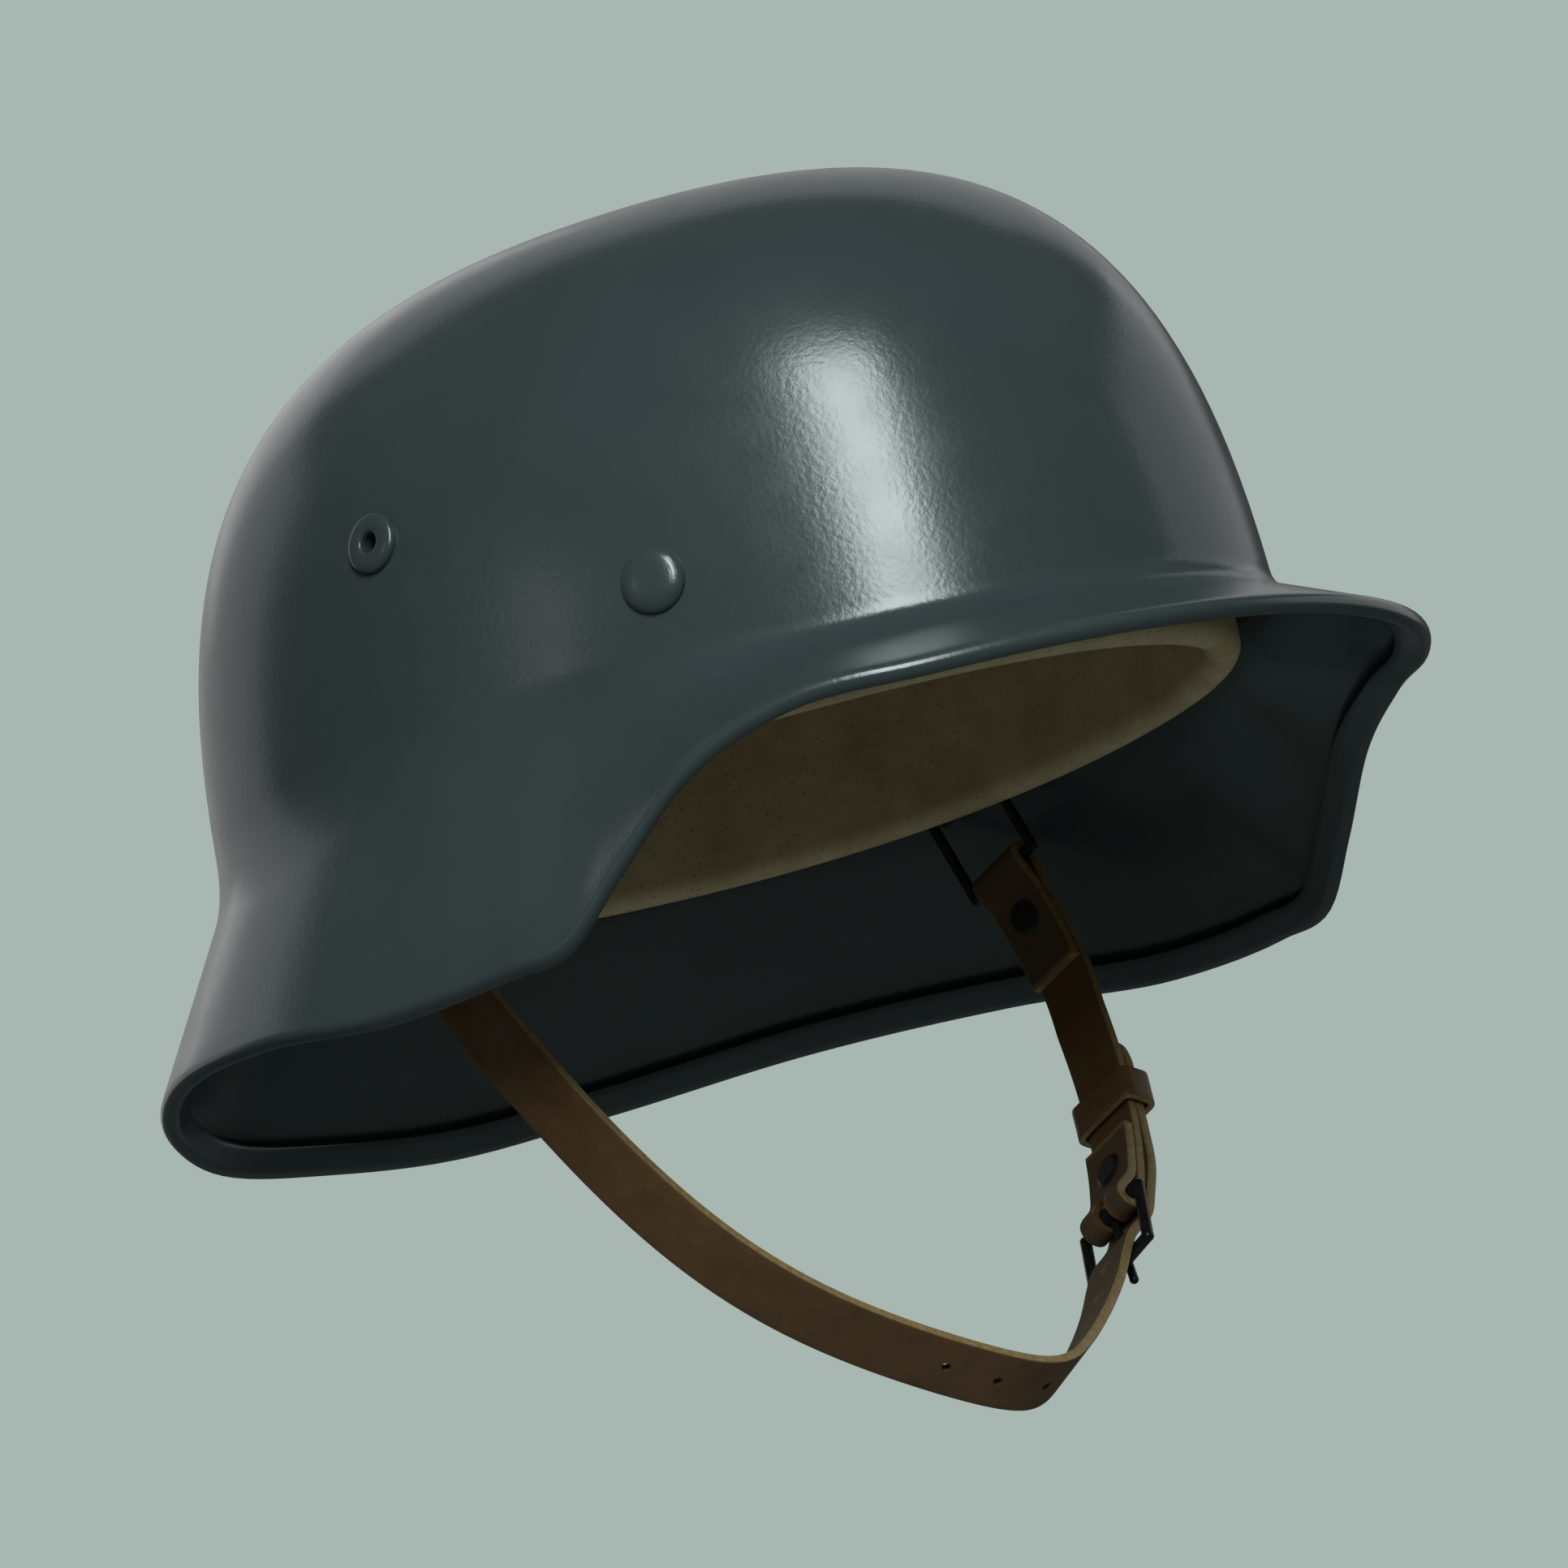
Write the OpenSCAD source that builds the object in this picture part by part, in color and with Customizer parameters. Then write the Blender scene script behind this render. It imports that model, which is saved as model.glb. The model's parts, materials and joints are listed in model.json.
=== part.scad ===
// Steel helmet with a rolled rim, a sprung leather liner and a buckled chinstrap.
// The frame has +X to the front, +Y to the wearer's left and +Z up. The origin is the centre
// of the head opening, level with the centre of the rim's roll at the ear corners.
// The shell is mirror symmetric. Azimuths are in degrees from the front.

/* [Shell] */
// Half the dome's length at its foot, outside
dome_half_length = 118; // [115:0.5:121]
// Half the dome's width at its foot, outside
dome_half_width = 90.5; // [88:0.5:93]
// Share by which the rear half is wider than the mean
dome_egg = 0.09; // [0.06:0.01:0.12]
// Height of the crown, outside
crown_height = 153; // [150:0.5:157]
// Height of the dome's widest level
dome_foot = 14.5; // [12:0.5:17]
// Exponent of the dome's rise to the crown
crown_power = 3.3; // [3.1:0.05:3.5]
// Exponent of the dome's side
side_power = 2.83; // [2.7:0.01:2.95]
// Thickness of the steel sheet
sheet = 1.2; // [1.0:0.1:1.4]
// Radius of the rolled rim
roll_radius = 2; // [1.8:0.1:2.3]
// Length of the rolled sheet that returns up the inside
hem_length = 5; // [4:0.5:6]
// Reach of the visor's rim at the front
visor_reach = 139; // [136:0.5:142]
// Height of the visor's rim at the front
visor_height = 34; // [32:0.5:36]
// Azimuth of the ear corners
ear_azimuth = 70; // [69:0.5:71]
// Reach of the rim at the ear corners
ear_reach = 117.5; // [116:0.5:119]
// Reach of the rim at the rear
rear_reach = 140; // [137:0.5:143]

/* [Vents and split pins] */
// Azimuth of the vent bushings
vent_azimuth = 95.5; // [92:0.5:99]
// Height of the vent bushings
vent_height = 92; // [89:0.5:95]
// Diameter of a vent's bore
vent_bore_d = 4; // [3.6:0.1:4.4]
// Diameter of a vent's flange
vent_flange_d = 12; // [11:0.5:13]
// Azimuth of the side split pins
pin_azimuth = 56.5; // [54:0.5:59]
// Diameter of a split pin's domed head
pin_head_d = 13; // [12:0.5:14]
// Height of a split pin's head
pin_head_h = 2.3; // [1.9:0.1:2.8]
// Diameter of a split pin's shank
pin_shank_d = 5; // [4.6:0.1:5.4]
// Length of a split pin's bent leg
pin_leg = 10; // [9:0.5:12]

/* [Liner bands] */
// Mean height of the outer band's middle
band_level = 64; // [63:0.5:65]
// Rise of the outer band from the middle to the front
band_rise = 4.5; // [3.5:0.5:5.5]
// Height of the outer band
outer_band_h = 22; // [20:0.5:24]
// Thickness of both bands
band_t = 0.8; // [0.7:0.05:0.9]
// Space between the shell and the outer band
band_gap = 1.4; // [1.2:0.1:1.6]
// Space between the two bands at the sides
spring_gap_side = 6; // [5.5:0.1:6.5]
// Space between the two bands at the front and the rear
spring_gap_end = 7.3; // [6.8:0.1:8]
// Height of the bottom of the liner's fold
fold_bottom = 36.5; // [35.5:0.5:38]
// Height of the inner band
inner_band_h = 27; // [26:0.5:28]
// Width of a leaf spring
spring_w = 9; // [8:0.5:10]
// Thickness of a leaf spring
spring_t = 0.7; // [0.6:0.05:0.8]
// Half the angle that a leaf spring spans
spring_span = 16; // [14:0.5:18]

/* [Leather liner] */
// Thickness of the liner's leather
leather_t = 1.5; // [1.3:0.1:1.7]
// Thickness of the felt band
felt_t = 2.7; // [2.4:0.1:3]
// Height at which the fingers leave the sweatband
sweatband_top = 76; // [74:0.5:78]
// Height from the sweatband's top to the crown of the fingers
finger_rise = 53; // [50:0.5:56]
// Number of fingers
finger_count = 8; // [8:2:8]
// Diameter of the holes in the fingers
finger_hole_d = 5; // [4:0.5:5.5]
// Diameter of the drawstring
drawstring_d = 1.8; // [1.6:0.1:2]
// Number of clips round the band
clip_count = 30; // [26:1:34]

/* [Chinstrap] */
// Width of the strap
strap_w = 13.5; // [12.5:0.5:14.5]
// Thickness of the strap
strap_t = 2; // [1.8:0.1:2.2]
// Spacing of the punched holes
hole_pitch = 11; // [10.5:0.5:11.5]
// Diameter of the punched holes
strap_hole_d = 2; // [1.8:0.1:2.4]
// Lean of the bails to the front
bail_lean = 21; // [19:0.5:23]
// Distance between a bail's two bars
bail_drop = 19; // [18:0.5:20]
// Inside width of a bail
bail_inside = 16.5; // [16:0.5:18]
// Diameter of a bail's wire
bail_wire = 2.2; // [2:0.1:2.4]
// Distance from the middle plane to each bail
bail_side = 86.5; // [86:0.1:87]
// Length of the short strap, from the bail to the buckle
short_strap = 90; // [88:1:92]
// Diameter of the buckle frame's wire
buckle_wire = 2.4; // [2.2:0.1:2.6]
// Distance between the buckle's two bars
buckle_l = 14; // [13.5:0.5:15]

/* [Hidden] */

// Clearances: round pieces in their holes, and pieces that lie on each other
hole_play = 0.05;
seat_play = 0.1;

// The rim's stations: azimuth, reach and height of the roll's centre
RIM = [[0, visor_reach, visor_height], [18, visor_reach - 2.5, visor_height - 0.5],
    [34, visor_reach - 9, visor_height - 1.4], [46, visor_reach - 15, visor_height - 2],
    [ear_azimuth - 14, ear_reach + 2, 24.3], [ear_azimuth - 6, ear_reach + 0.5, 10.5],
    [ear_azimuth, ear_reach, 0], [ear_azimuth + 7, ear_reach - 1.5, -1.5],
    [92, 113.8, -1.5], [112, 117, 4], [134, 124.5, 6],
    [152, rear_reach - 7.5, 3], [166, rear_reach - 2, 0], [180, rear_reach, 0]];
// The crease between dome and skirt: azimuth, height, reach of its rounding up and down
CREASE = [[0, 46, 5, 6], [40, 46.6, 5.5, 7], [75, 46, 12, 15], [110, 45, 11.5, 12],
    [145, 43.5, 10, 7], [180, 42.5, 8.5, 8]];

// Smooth curve through a list of stations, level at both ends
function leg(s, i) = s[i + 1][0] - s[i][0];
function rate(s, i, k) = (s[i + 1][k] - s[i][k]) / leg(s, i);
function tangent(s, i, k) = i == 0 || i == len(s) - 1 ? 0
    : (leg(s, i) * rate(s, i - 1, k) + leg(s, i - 1) * rate(s, i, k)) / (leg(s, i) + leg(s, i - 1));
function span(s, x, i = 0) = i >= len(s) - 2 || x < s[i + 1][0] ? i : span(s, x, i + 1);
function along(s, x, k) = let (i = span(s, x), h = leg(s, i), t = (x - s[i][0]) / h)
    (2 * t * t * t - 3 * t * t + 1) * s[i][k] + (t * t * t - 2 * t * t + t) * h * tangent(s, i, k)
    + (3 * t * t - 2 * t * t * t) * s[i + 1][k] + (t * t * t - t * t) * h * tangent(s, i + 1, k);

// Azimuth from 0 at the front to 180 at the rear, on either side
function half_turn(a) = let (b = ((a % 360) + 360) % 360) b > 180 ? 360 - b : b;
function unit(v) = v / norm(v);
function reversed(v) = [for (i = [len(v) - 1 : -1 : 0]) v[i]];

// Dome: outline seen from above, and its radius at a height
function plan(a) = 1 / sqrt(pow(cos(a) / dome_half_length, 2)
    + pow(sin(a) / (dome_half_width * (1 - dome_egg * cos(a))), 2));
function dome_level(z) = max(0, (z - dome_foot) / (crown_height - dome_foot));
function dome_radius(a, z) = plan(a) * pow(1 - pow(dome_level(z), crown_power), 1 / side_power);
function dome_point(a, z, inset = 0) = let (r = dome_radius(a, z) - inset) [r * cos(a), r * sin(a), z];
function dome_normal(a, z) = unit(cross(dome_point(a + 0.5, z) - dome_point(a - 0.5, z),
    dome_point(a, z + 0.5) - dome_point(a, z - 0.5)));

// Outer skin at an azimuth, from near the crown to the rim's roll, as radius and height
dome_steps = 14;
round_steps = 5;
run_steps = 3;
roll_steps = 7;
function crease_point(a) = let (z = along(CREASE, half_turn(a), 1)) [dome_radius(a, z), z];
function rim_point(a) = [along(RIM, half_turn(a), 1), along(RIM, half_turn(a), 2)];
function skin_normal(a) = let (d = unit(rim_point(a) - crease_point(a))) [-d[1], d[0]];
function skin_end(a) = rim_point(a) + roll_radius * skin_normal(a);
function dome_arc(a) = let (z_end = crease_point(a)[1] + along(CREASE, half_turn(a), 2),
        turn = acos(pow(dome_level(z_end), crown_power / 2)))
    [for (i = [1 : dome_steps]) let (t = turn * i / dome_steps)
        [plan(a) * pow(sin(t), 2 / side_power),
        dome_foot + (crown_height - dome_foot) * pow(cos(t), 2 / crown_power)]];
function skirt_line(a) = let (c = crease_point(a), e = skin_end(a), s = dome_arc(a)[dome_steps - 1],
        b = c + unit(e - c) * along(CREASE, half_turn(a), 3))
    concat([for (i = [1 : round_steps]) let (t = i / round_steps)
        (1 - t) * (1 - t) * s + 2 * t * (1 - t) * c + t * t * b],
        [for (i = [1 : run_steps]) b + (e - b) * i / run_steps]);
function outer_skin(a) = concat(dome_arc(a), skirt_line(a));
function offset_in(path, t) = [for (i = [0 : len(path) - 1])
    let (d = unit(path[min(i + 1, len(path) - 1)] - path[max(i - 1, 0)])) path[i] + t * [d[1], -d[0]]];
// Rolled rim: round the outside, then up the inside to the hem's edge and the groove above it
function rolled_rim(a) = let (c = rim_point(a), n = skin_normal(a), d = [n[1], -n[0]],
        edge = roll_radius - sheet)
    concat([for (i = [1 : roll_steps]) let (t = 180 * i / roll_steps)
        c + roll_radius * (cos(t) * n + sin(t) * d)],
        [c - roll_radius * n - hem_length * d, c - edge * n - hem_length * d,
        c - edge * n - (hem_length - sheet) * d, c + edge * n - (hem_length - sheet) * d]);
function inner_skin(a) = let (skin = outer_skin(a), inner = offset_in(skin, sheet))
    reversed([for (i = [0 : len(inner) - run_steps]) inner[i]]);
function shell_section(a) = concat(outer_skin(a), rolled_rim(a), inner_skin(a));

// Azimuths of the shell's sections, closer together round the ear corners
HALF_TURN = concat([for (a = [0 : 6 : 36]) a], [for (a = [40 : 2.5 : 80]) a], [for (a = [85 : 5 : 180]) a]);
SHELL_TURN = concat(HALF_TURN, [for (i = [len(HALF_TURN) - 2 : -1 : 1]) 360 - HALF_TURN[i]]);

// Faces of a grid of rows by columns, closed round both ways or open across
function wrap(rows, cols, closed = true) = [for (i = [0 : rows - 1], j = [0 : cols - (closed ? 1 : 2)])
    let (p = i * cols + j, q = i * cols + (j + 1) % cols, r = ((i + 1) % rows) * cols + j,
        s = ((i + 1) % rows) * cols + (j + 1) % cols) each [[p, r, q], [q, r, s]]];
// Faces of a bar of rows, each a closed ring of columns, with flat ends
function bar(rows, cols) = concat([for (i = [0 : rows - 2], j = [0 : cols - 1])
    let (p = i * cols + j, q = i * cols + (j + 1) % cols) each [[p, p + cols, q], [q, p + cols, q + cols]]],
    [[for (j = [0 : cols - 1]) j]], [[for (j = [cols - 1 : -1 : 0]) (rows - 1) * cols + j]]);

// A closed ring whose cross-section at each azimuth is a list of radius and height
module ring(turn, sections) {
    cols = len(sections[0]);
    points = [for (i = [0 : len(turn) - 1]) each [for (p = sections[i])
        [p[0] * cos(turn[i]), p[0] * sin(turn[i]), p[1]]]];
    polyhedron(points, wrap(len(turn), cols));
}
RING_TURN = [for (a = [0 : 6 : 354]) a];

// Share of a horizontal depth that lies along the dome's normal
function slant(a, z) = let (n = dome_normal(a, z)) n[0] * cos(a) + n[1] * sin(a);
// Places its children on the shell with +Z along the outward normal and +X level
module on_shell(a, z) {
    n = dome_normal(a, z);
    translate(dome_point(a, z)) rotate([0, acos(n[2]), atan2(n[1], n[0])]) rotate([0, 0, 90]) children();
}

// Heights and depths of the liner's layers, from the shell's outside inwards
function band_mid(a) = band_level + band_rise * cos(a);
function outer_band_inset() = sheet + band_gap;
felt_gap = 1.1;
function fold_width() = band_t + felt_gap + felt_t + 2 * leather_t + 2 * seat_play;
inner_band_low = fold_bottom + fold_width() / 2 + 0.3;
function spring_gap(a) = spring_gap_side + (spring_gap_end - spring_gap_side) * pow(cos(a), 2);
inner_band_mid = inner_band_low + inner_band_h / 2;
// Radius of the inner band's outside, the same at every height
function liner_radius(a) = dome_radius(a, inner_band_mid) - outer_band_inset() - band_t - spring_gap(a);
function liner_point(a, z) = [liner_radius(a) * cos(a), liner_radius(a) * sin(a), z];
// Azimuth of the inner band's outward normal
function liner_turn(a) = let (d = liner_point(a + 0.5, 0) - liner_point(a - 0.5, 0)) atan2(-d[0], d[1]);
// Places its children on the inner band's outside with +Z outwards and -X up
module on_liner(a, z) {
    translate(liner_point(a, z)) rotate([0, 90, liner_turn(a)]) children();
}
side_pin_z = band_mid(pin_azimuth);
rear_pin_z = band_mid(180);
hole_r = pin_shank_d / 2 + hole_play;
vent_tube_r = vent_bore_d / 2 + 1.2;

module shell_holes() {
    for (s = [-1, 1]) {
        on_shell(s * vent_azimuth, vent_height) cylinder(r = vent_tube_r + hole_play, h = 12, center = true, $fn = 48);
        on_shell(s * pin_azimuth, side_pin_z) cylinder(r = hole_r, h = 12, center = true, $fn = 48);
    }
    on_shell(180, rear_pin_z) cylinder(r = hole_r, h = 12, center = true, $fn = 48);
}

module shell() {
    sections = [for (a = SHELL_TURN) shell_section(a)];
    rows = len(SHELL_TURN);
    cols = len(sections[0]);
    points = [for (i = [0 : rows - 1]) each [for (p = sections[i])
        [p[0] * cos(SHELL_TURN[i]), p[0] * sin(SHELL_TURN[i]), p[1]]]];
    tips = [[0, 0, crown_height], [0, 0, crown_height - sheet]];
    caps = [for (i = [0 : rows - 1]) let (p = i * cols, q = ((i + 1) % rows) * cols)
        each [[p, rows * cols, q], [p + cols - 1, q + cols - 1, rows * cols + 1]]];
    color("#4d5a59") difference() {
        polyhedron(concat(points, tips), concat(wrap(rows, cols, false), caps));
        shell_holes();
    }
}

// Half section of a pressed dome with a flat middle and steep sides, from its edge to its middle
button_steps = 14;
function button(r, h) = [for (i = [0 : button_steps]) let (x = i < button_steps ? cos(90 * i / button_steps) : 0)
    [r * x, h * pow(1 - pow(x, 2.6), 1 / 2.2)]];

// Hollow bush: a domed flange outside, a tube through the sheet and a flared end inside
vent_washer_t = 1;
vent_washer_z = -sheet - 0.5 - vent_washer_t;
vent_step = 0.2;
vent_edge = 0.4;
vent_rise = 1.75;
vent_lip = 1;
vent_bore_top = 1.1;
module vent_bushing(side) {
    bore = vent_bore_d / 2;
    tube = bore + vent_step;
    flange = vent_flange_d / 2;
    flare_z = vent_washer_z - seat_play;
    top = bore + vent_lip;
    dome = [for (p = button(flange - top, vent_rise - vent_edge)) [top + p[0], vent_edge + p[1]]];
    lip = [for (t = [15 : 15 : 90]) [top - vent_lip * sin(t), vent_rise - (vent_rise - vent_bore_top) * (1 - cos(t))]];
    color("#4d5a59") on_shell(side * vent_azimuth, vent_height) rotate_extrude($fn = 64)
        polygon(concat([[flange, seat_play]], dome, lip, [[bore, vent_step], [tube, 0], [tube, flare_z - 0.4],
        [tube + 0.3, flare_z - 0.8], [vent_tube_r + 0.8, flare_z - 0.6], [vent_tube_r + 1, flare_z],
        [vent_tube_r, flare_z], [vent_tube_r, seat_play]]));
}
module vent_washer(side) {
    color("#6b6f6c") on_shell(side * vent_azimuth, vent_height) translate([0, 0, vent_washer_z])
        difference() {
            cylinder(d = vent_flange_d, h = vent_washer_t, $fn = 64);
            translate([0, 0, -1]) cylinder(r = vent_tube_r + hole_play, h = vent_washer_t + 2, $fn = 48);
        }
}

// Split pin: domed head, split shank through shell, band and washer, legs bent flat
pin_washer_t = 1;
band_bow = 0.85;
pin_washer_z = -(outer_band_inset() + band_t + band_bow + pin_washer_t);
pin_slit = 0.6;
module split_pin(a, z) {
    leg_w = 4;
    leg_t = 1;
    leg_z = pin_washer_z - seat_play - leg_t;
    color("#4d5a59") on_shell(a, z) difference() {
        union() {
            translate([0, 0, seat_play]) rotate_extrude($fn = 64)
                polygon(concat([[0, 0]], button(pin_head_d / 2, pin_head_h)));
            translate([0, 0, leg_z]) cylinder(d = pin_shank_d, h = seat_play - leg_z + 0.2, $fn = 48);
            translate([-pin_leg, -leg_w / 2, leg_z]) cube([2 * pin_leg, leg_w, leg_t]);
        }
        translate([-pin_slit / 2, -pin_shank_d, leg_z - 1]) cube([pin_slit, 2 * pin_shank_d, 1 - leg_z]);
    }
}
module pin_washer(a, z) {
    color("#8d8f8a") on_shell(a, z) translate([0, 0, pin_washer_z]) difference() {
        cylinder(d = 15, h = pin_washer_t, $fn = 64);
        translate([0, 0, -1]) cylinder(r = hole_r, h = pin_washer_t + 2, $fn = 48);
    }
}

// Outer band: a strip that follows the shell, with holes for pins, springs and brackets
SPRINGS = [["front_right", -28], ["front_left", 28], ["rear_right", -138], ["rear_left", 138]];
spring_z = 62;
rivet_d = 3;
rivet_end = spring_span - 2.5;
module band_hole(a, z, d = rivet_d) {
    on_shell(a, z) translate([0, 0, -16]) cylinder(d = d + 2 * hole_play, h = 15, $fn = 32);
}
// Radius of the outer band's outside, a straight line from its lower to its upper edge
function band_edge(a, up) = dome_radius(a, band_mid(a) + up) - outer_band_inset();
function band_outside(a, z) = let (half = outer_band_h / 2, low = band_edge(a, -half), high = band_edge(a, half))
    low + (high - low) * (z - band_mid(a) + half) / outer_band_h;
module outer_band() {
    sections = [for (a = RING_TURN) let (lo = band_mid(a) - outer_band_h / 2, hi = lo + outer_band_h,
            ro = band_outside(a, lo), rh = band_outside(a, hi))
        [[ro, lo], [ro - band_t, lo], [rh - band_t, hi], [rh, hi]]];
    color("#9a9c98") difference() {
        ring(RING_TURN, sections);
        for (s = [-1, 1]) band_hole(s * pin_azimuth, side_pin_z, pin_shank_d);
        band_hole(180, rear_pin_z, pin_shank_d);
        for (s = SPRINGS, e = [-1, 1]) band_hole(s[1] + e * rivet_end, spring_z);
        for (s = [-1, 1], x = BRACKET_RIVETS) bracket_frame(s) bracket_hole(x);
    }
}
module inner_band() {
    color("#9a9c98") difference() {
        ring(RING_TURN, [for (a = RING_TURN) let (r = liner_radius(a), hi = inner_band_low + inner_band_h)
            [[r, hi], [r, inner_band_low], [r - band_t, inner_band_low], [r - band_t, hi]]]);
        for (s = SPRINGS) middle_hole(s[1]);
    }
}
// Hole of a spring's middle rivet, through the inner band and the spring
module middle_hole(a) {
    on_liner(a, spring_z) translate([0, 0, -3]) cylinder(d = rivet_d + 2 * hole_play, h = 6, $fn = 32);
}

// Leaf spring: bowed strip whose ends lie on the outer band and whose middle lies on the inner
facet_play = 0.15;
function spring_radius(a, mid) = let (t = pow(cos(90 * (a - mid) / spring_span), 2),
        out = band_outside(a, spring_z + spring_w / 2) - band_t - seat_play - facet_play,
        in = liner_radius(a) + spring_t + seat_play) out + (in - out) * t;
module leaf_spring(mid) {
    steps = 7;
    half = spring_w / 2;
    points = [for (i = [0 : steps]) let (a = mid + spring_span * (2 * i / steps - 1),
            r = spring_radius(a, mid))
        each [for (p = [[r, half], [r, -half], [r - spring_t, -half], [r - spring_t, half]])
        [p[0] * cos(a), p[0] * sin(a), spring_z + p[1]]]];
    color("#55585a") difference() {
        polyhedron(points, bar(steps + 1, 4));
        for (e = [-1, 1]) band_hole(mid + e * rivet_end, spring_z);
        middle_hole(mid);
    }
}
// Flat-headed rivet along -Z, from its head's underside down through a stack
module rivet(stack, head = 5.4, head_t = 0.6) {
    cylinder(d1 = head, d2 = head - 1, h = head_t, $fn = 32);
    translate([0, 0, -stack - head_t]) cylinder(d = rivet_d, h = stack + head_t + 0.2, $fn = 32);
    translate([0, 0, -stack - head_t]) cylinder(d1 = head - 1, d2 = head, h = head_t, $fn = 32);
}
module spring_rivets() {
    color("#b4b6b2") for (s = SPRINGS) {
        for (e = [-1, 1]) let (a = s[1] + e * rivet_end, depth = dome_radius(a, spring_z) - band_outside(a, spring_z))
            on_shell(a, spring_z) translate([0, 0, facet_play - depth * slant(a, spring_z)])
            rivet(band_t + spring_t + 1.85);
        on_liner(s[1], spring_z) translate([0, 0, spring_t + 0.4]) rivet(band_t + spring_t + 0.65);
    }
}

// Felt band inside the inner band, clear of its rivets
felt_low = inner_band_low + 1;
felt_high = sweatband_top - 6;
function felt_outer(a) = liner_radius(a) - band_t - felt_gap;
module felt_band() {
    color("#8f8a7c") ring(RING_TURN, [for (a = RING_TURN) let (r = felt_outer(a), ri = r - felt_t)
        [[r, felt_high], [r, felt_low], [ri, felt_low], [ri, felt_high]]]);
}

// Leather sweatband: a flap outside the inner band, a fold under it and a wide band inside
flap_high = 53;
fold_steps = 6;
function sweat_section(a) = let (ro = liner_radius(a) + leather_t + seat_play, half = fold_width() / 2,
        mid = ro - half, zc = fold_bottom + half)
    concat([[ro - leather_t, flap_high], [ro, flap_high]],
        [for (i = [0 : fold_steps]) let (t = 180 * i / fold_steps) [mid + half * cos(t), zc - half * sin(t)]],
        [[ro - 2 * half, sweatband_top], [ro - 2 * half + leather_t, sweatband_top]],
        [for (i = [fold_steps : -1 : 0]) let (t = 180 * i / fold_steps, h = half - leather_t)
            [mid + h * cos(t), zc - h * sin(t)]]);
function finger_base(a) = liner_radius(a) + leather_t + seat_play - fold_width() + leather_t;

// A finger's surface: turn t rises from the sweatband to the crown
finger_end = 67;
finger_pitch = 360 / finger_count;
function finger_point(a, t, depth) = let (r = finger_base(a) * cos(t) - depth * cos(t),
        z = sweatband_top - 2 + finger_rise * sin(t) - depth * sin(t)) [r * cos(a), r * sin(a), z];
function finger_half(t) = let (late = max(0, (t - 55) / (finger_end - 55)))
    (finger_pitch / 2 - 0.8 - 6 * pow(t / finger_end, 2)) * sqrt(1 - 0.8 * late * late);
module finger(mid) {
    cols = 8;
    levels = concat([0, 4.5], [for (i = [0 : 9]) 10 + (finger_end - 10) * i / 9]);
    rows = len(levels);
    points = [for (t = levels) let (thin = t == 0 ? 0.5 : t < 10 ? 0.3 : 0) each concat(
        [for (j = [0 : cols - 1]) finger_point(mid + finger_half(t) * (2 * j / (cols - 1) - 1), t, thin)],
        [for (j = [cols - 1 : -1 : 0])
            finger_point(mid + finger_half(t) * (2 * j / (cols - 1) - 1), t, leather_t - thin)])];
    polyhedron(points, bar(rows, 2 * cols));
}
FINGER_HOLES = [[14, -8], [14, 8], [28, -6.5], [28, 6.5], [42, 0]];
lace_turn = 59;
module finger_hole(a, t, d) {
    p = finger_point(a, t, 0);
    translate(p) rotate([0, 90 - t, a]) cylinder(d = d, h = 12, center = true, $fn = 24);
}
module leather_liner() {
    color("#c9b893") {
        ring(RING_TURN, [for (a = RING_TURN) sweat_section(a)]);
        for (k = [0 : finger_count - 1]) let (mid = finger_pitch * (k + 0.5)) difference() {
            finger(mid);
            for (h = FINGER_HOLES) finger_hole(mid + h[1], h[0], finger_hole_d);
            finger_hole(mid, lace_turn, lace_hole_d);
        }
    }
}

// Clips that pin the leather's flap to the inner band
clip_z = flap_high - 3;
module liner_clips() {
    color("#a7a9a4") for (k = [0 : clip_count - 1]) let (a = 360 * (k + 0.5) / clip_count)
        on_liner(a, clip_z) translate([0, 0, leather_t + seat_play]) {
            translate([-1.6, -3, 0]) cube([3.2, 6, 0.6]);
            translate([-0.5, -1.2, -leather_t - band_t - 0.4]) cube([1, 2.4, leather_t + band_t + 0.5]);
        }
}

// Drawstring: a ring that passes in and out through the fingers' tip holes, with a knot in front
string_steps = 144;
lace_hole_d = drawstring_d + 3.4;
function string_point(i) = let (a = 360 * i / string_steps,
        k = sin(a * finger_count / 2 - 90), w = max(-1, min(1, 6 * k)),
        swing = drawstring_d / 2 + leather_t / 2 + 0.25)
    finger_point(a, lace_turn, leather_t / 2 - swing * w);
module drawstring() {
    sides = 6;
    points = [for (i = [0 : string_steps - 1]) let (p = string_point(i),
            g = unit(string_point(i + 1) - string_point(i - 1)), u = unit(cross(g, [0, 0, 1])), v = cross(u, g))
        each [for (j = [0 : sides - 1]) p + drawstring_d / 2 * (cos(360 * j / sides) * u + sin(360 * j / sides) * v)]];
    color("#d8d2c0") union() {
        polyhedron(points, [for (f = wrap(string_steps, sides)) [f[0], f[2], f[1]]]);
        translate(string_point(0)) sphere(d = 2.4 * drawstring_d, $fn = 32);
    }
}

// The bails: each hangs from its bracket on an axis that leans with the strap
LOOP_TOP = [-18.7, bail_side, 24];
LOOP_DIR = [sin(bail_lean), 0, -cos(bail_lean)];
HINGE = LOOP_TOP - bail_drop * LOOP_DIR;
// Frame of a bail's hinge: +X along the hinge, +Z up the bail
module hinge_frame(side) {
    translate([HINGE[0], side * HINGE[1], HINGE[2]]) rotate([0, -bail_lean, 0]) children();
}
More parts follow.
